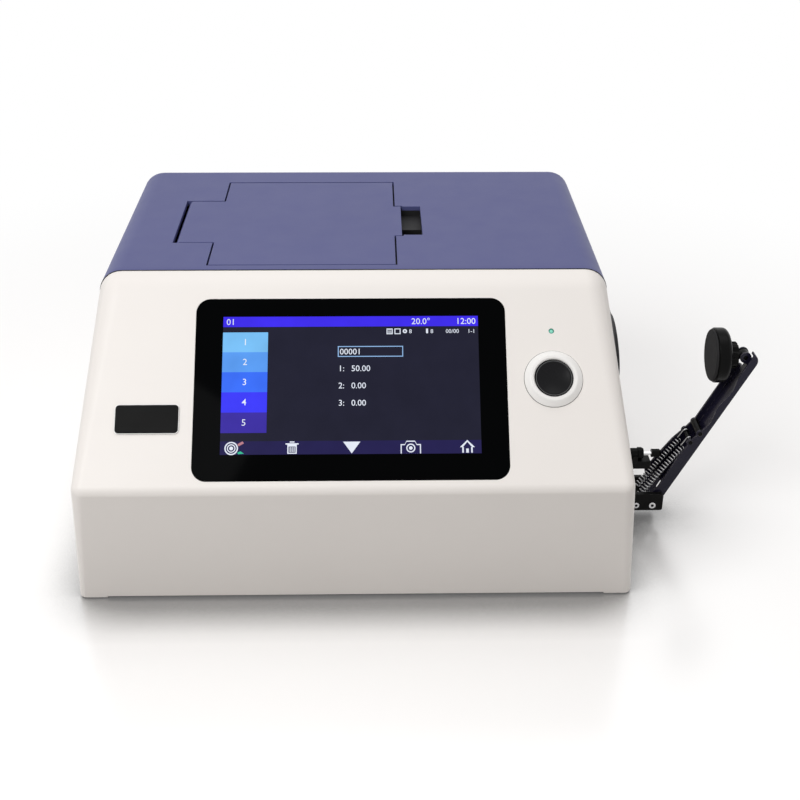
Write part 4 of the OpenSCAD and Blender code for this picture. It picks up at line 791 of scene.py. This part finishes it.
# ---------------------------------------------------------------- camera
def build_camera():
    """The photo's camera, solved from the panel's corners. Its angles are in radians."""
    cam = bpy.data.objects.new("camera", bpy.data.cameras.new("camera"))
    bpy.context.scene.collection.objects.link(cam)
    yaw, pitch, roll = 0.02231, 0.49742, 0.0049
    forward = Vector((math.sin(yaw) * math.cos(pitch), math.cos(yaw) * math.cos(pitch),
                      -math.sin(pitch)))
    level_right = Vector((math.cos(yaw), -math.sin(yaw), 0))
    level_up = level_right.cross(forward)
    right = math.cos(roll) * level_right + math.sin(roll) * level_up
    up = -math.sin(roll) * level_right + math.cos(roll) * level_up
    m = Matrix((right, up, -forward)).transposed().to_4x4()
    m.translation = Vector((0.0122, -0.79264, 0.50726))
    cam.matrix_world = m
    cam.data.sensor_width = 36
    cam.data.lens = 58.5
    cam.data.clip_start, cam.data.clip_end = 0.02, 60
    bpy.context.scene.camera = cam


build_camera()


# ---------------------------------------------------------------- floor, world and lamps
FLOOR_HALF, FLOOR_DROP = 12.0, 0.0002
# Distance from the origin at which the seen floor starts to turn white, and where it is white
FADE_START, FADE_END = 0.30, 0.75


def seen(nodes, links):
    """1 for rays from the camera, in a mirror or through glass, and 0 for light on things."""
    path = nodes.new("ShaderNodeLightPath")
    direct, every = (nodes.new("ShaderNodeMath") for _ in range(2))
    for n in (direct, every):
        n.operation = "MAXIMUM"
    links.new(path.outputs["Is Camera Ray"], direct.inputs[0])
    links.new(path.outputs["Is Glossy Ray"], direct.inputs[1])
    links.new(direct.outputs["Value"], every.inputs[0])
    links.new(path.outputs["Is Transmission Ray"], every.inputs[1])
    return every.outputs["Value"]


def near_floor(nodes, links):
    """The floor round the object: painted shade where the object is near, with a weak blurred
    reflection.
    """
    matt = nodes.new("ShaderNodeBsdfDiffuse")
    gloss = nodes.new("ShaderNodeBsdfAnisotropic")
    gloss.inputs["Color"].default_value = (0.24, 0.24, 0.24, 1)
    gloss.inputs["Roughness"].default_value = 0.24
    # Painted shade: the floor darkens where an AO node finds the object near
    near = nodes.new("ShaderNodeAmbientOcclusion")
    near.samples = 8
    near.inputs["Distance"].default_value = 0.045
    floor_shade = ramp(nodes, (0.10, 0.10, 0.10, 1), (0.80, 0.80, 0.80, 1), 0.42, 1.0)
    floor_shade.color_ramp.interpolation = "EASE"
    links.new(near.outputs["AO"], floor_shade.inputs["Fac"])
    links.new(floor_shade.outputs["Color"], matt.inputs["Color"])
    light = nodes.new("ShaderNodeEmission")
    light.inputs["Strength"].default_value = 0.08
    surface, lifted = nodes.new("ShaderNodeAddShader"), nodes.new("ShaderNodeAddShader")
    links.new(matt.outputs[0], surface.inputs[0])
    links.new(gloss.outputs[0], surface.inputs[1])
    links.new(surface.outputs[0], lifted.inputs[0])
    links.new(light.outputs[0], lifted.inputs[1])
    return lifted.outputs[0]


def fade_out(nodes, links):
    """0 near the object and 1 far from it."""
    coord = nodes.new("ShaderNodeTexCoord")
    distance = nodes.new("ShaderNodeVectorMath")
    distance.operation = "LENGTH"
    fade = nodes.new("ShaderNodeMapRange")
    fade.interpolation_type = "SMOOTHSTEP"
    fade.inputs["From Min"].default_value = FADE_START
    fade.inputs["From Max"].default_value = FADE_END
    links.new(coord.outputs["Object"], distance.inputs[0])
    links.new(distance.outputs["Value"], fade.inputs["Value"])
    return fade.outputs["Result"]


def build_floor():
    """A pale floor that is white far away. What it throws back on the object is a plain grey."""
    mesh = bpy.data.meshes.new("floor")
    s = FLOOR_HALF
    mesh.from_pydata([(-s, -s, 0), (s, -s, 0), (s, s, 0), (-s, s, 0)], [], [(0, 1, 2, 3)])
    floor = bpy.data.objects.new("floor", mesh)
    floor.location = (0, 0, -FLOOR_DROP)
    bpy.context.scene.collection.objects.link(floor)
    m = bpy.data.materials.new("floor_pale")
    m.use_nodes = True
    nodes, links = m.node_tree.nodes, m.node_tree.links
    nodes.clear()
    out = nodes.new("ShaderNodeOutputMaterial")
    mixed, open_floor = nodes.new("ShaderNodeMixShader"), nodes.new("ShaderNodeMixShader")
    plain = nodes.new("ShaderNodeBsdfDiffuse")
    plain.inputs["Color"].default_value = (0.53, 0.52, 0.51, 1)
    far = nodes.new("ShaderNodeEmission")
    far.inputs["Strength"].default_value = 1.0
    links.new(fade_out(nodes, links), open_floor.inputs["Fac"])
    links.new(near_floor(nodes, links), open_floor.inputs[1])
    links.new(far.outputs[0], open_floor.inputs[2])
    links.new(seen(nodes, links), mixed.inputs["Fac"])
    links.new(plain.outputs[0], mixed.inputs[1])
    links.new(open_floor.outputs[0], mixed.inputs[2])
    links.new(mixed.outputs[0], out.inputs["Surface"])
    floor.data.materials.append(m)


build_floor()


def build_world():
    """A white surround for the eye, and a weaker warm one that lights the object."""
    w = bpy.data.worlds.new("studio")
    bpy.context.scene.world = w
    w.use_nodes = True
    nodes, links = w.node_tree.nodes, w.node_tree.links
    nodes.clear()
    out = nodes.new("ShaderNodeOutputWorld")
    mixed = nodes.new("ShaderNodeMixShader")
    fill, white = nodes.new("ShaderNodeBackground"), nodes.new("ShaderNodeBackground")
    fill.inputs["Color"].default_value = (1.0, 0.965, 0.945, 1)
    fill.inputs["Strength"].default_value = 0.42
    white.inputs["Color"].default_value = WHITE
    white.inputs["Strength"].default_value = 1.0
    links.new(seen(nodes, links), mixed.inputs["Fac"])
    links.new(fill.outputs[0], mixed.inputs[1])
    links.new(white.outputs[0], mixed.inputs[2])
    links.new(mixed.outputs[0], out.inputs["Surface"])


build_world()


def lamp(name, place, target, size, power):
    """A rectangular white area lamp, aimed at a target. Its power is in watts."""
    data = bpy.data.lights.new(name, "AREA")
    data.shape = "RECTANGLE"
    data.size, data.size_y = size
    data.energy = power
    o = bpy.data.objects.new(name, data)
    bpy.context.scene.collection.objects.link(o)
    o.location = place
    o.rotation_mode = "QUATERNION"
    o.rotation_quaternion = (Vector(target) - Vector(place)).to_track_quat("-Z", "Y")


lamp("key", (-0.75, -0.95, 1.25), (-0.02, -0.05, 0.08), (0.9, 0.9), 12.4)
lamp("top", (0.2, 0.3, 1.9), (0, 0, 0.1), (1.6, 1.2), 8)
lamp("side", (1.7, -0.5, 0.9), (0.1, 0, 0.1), (0.8, 1.2), 1.2)
bpy.context.scene.view_settings.view_transform = "Standard"
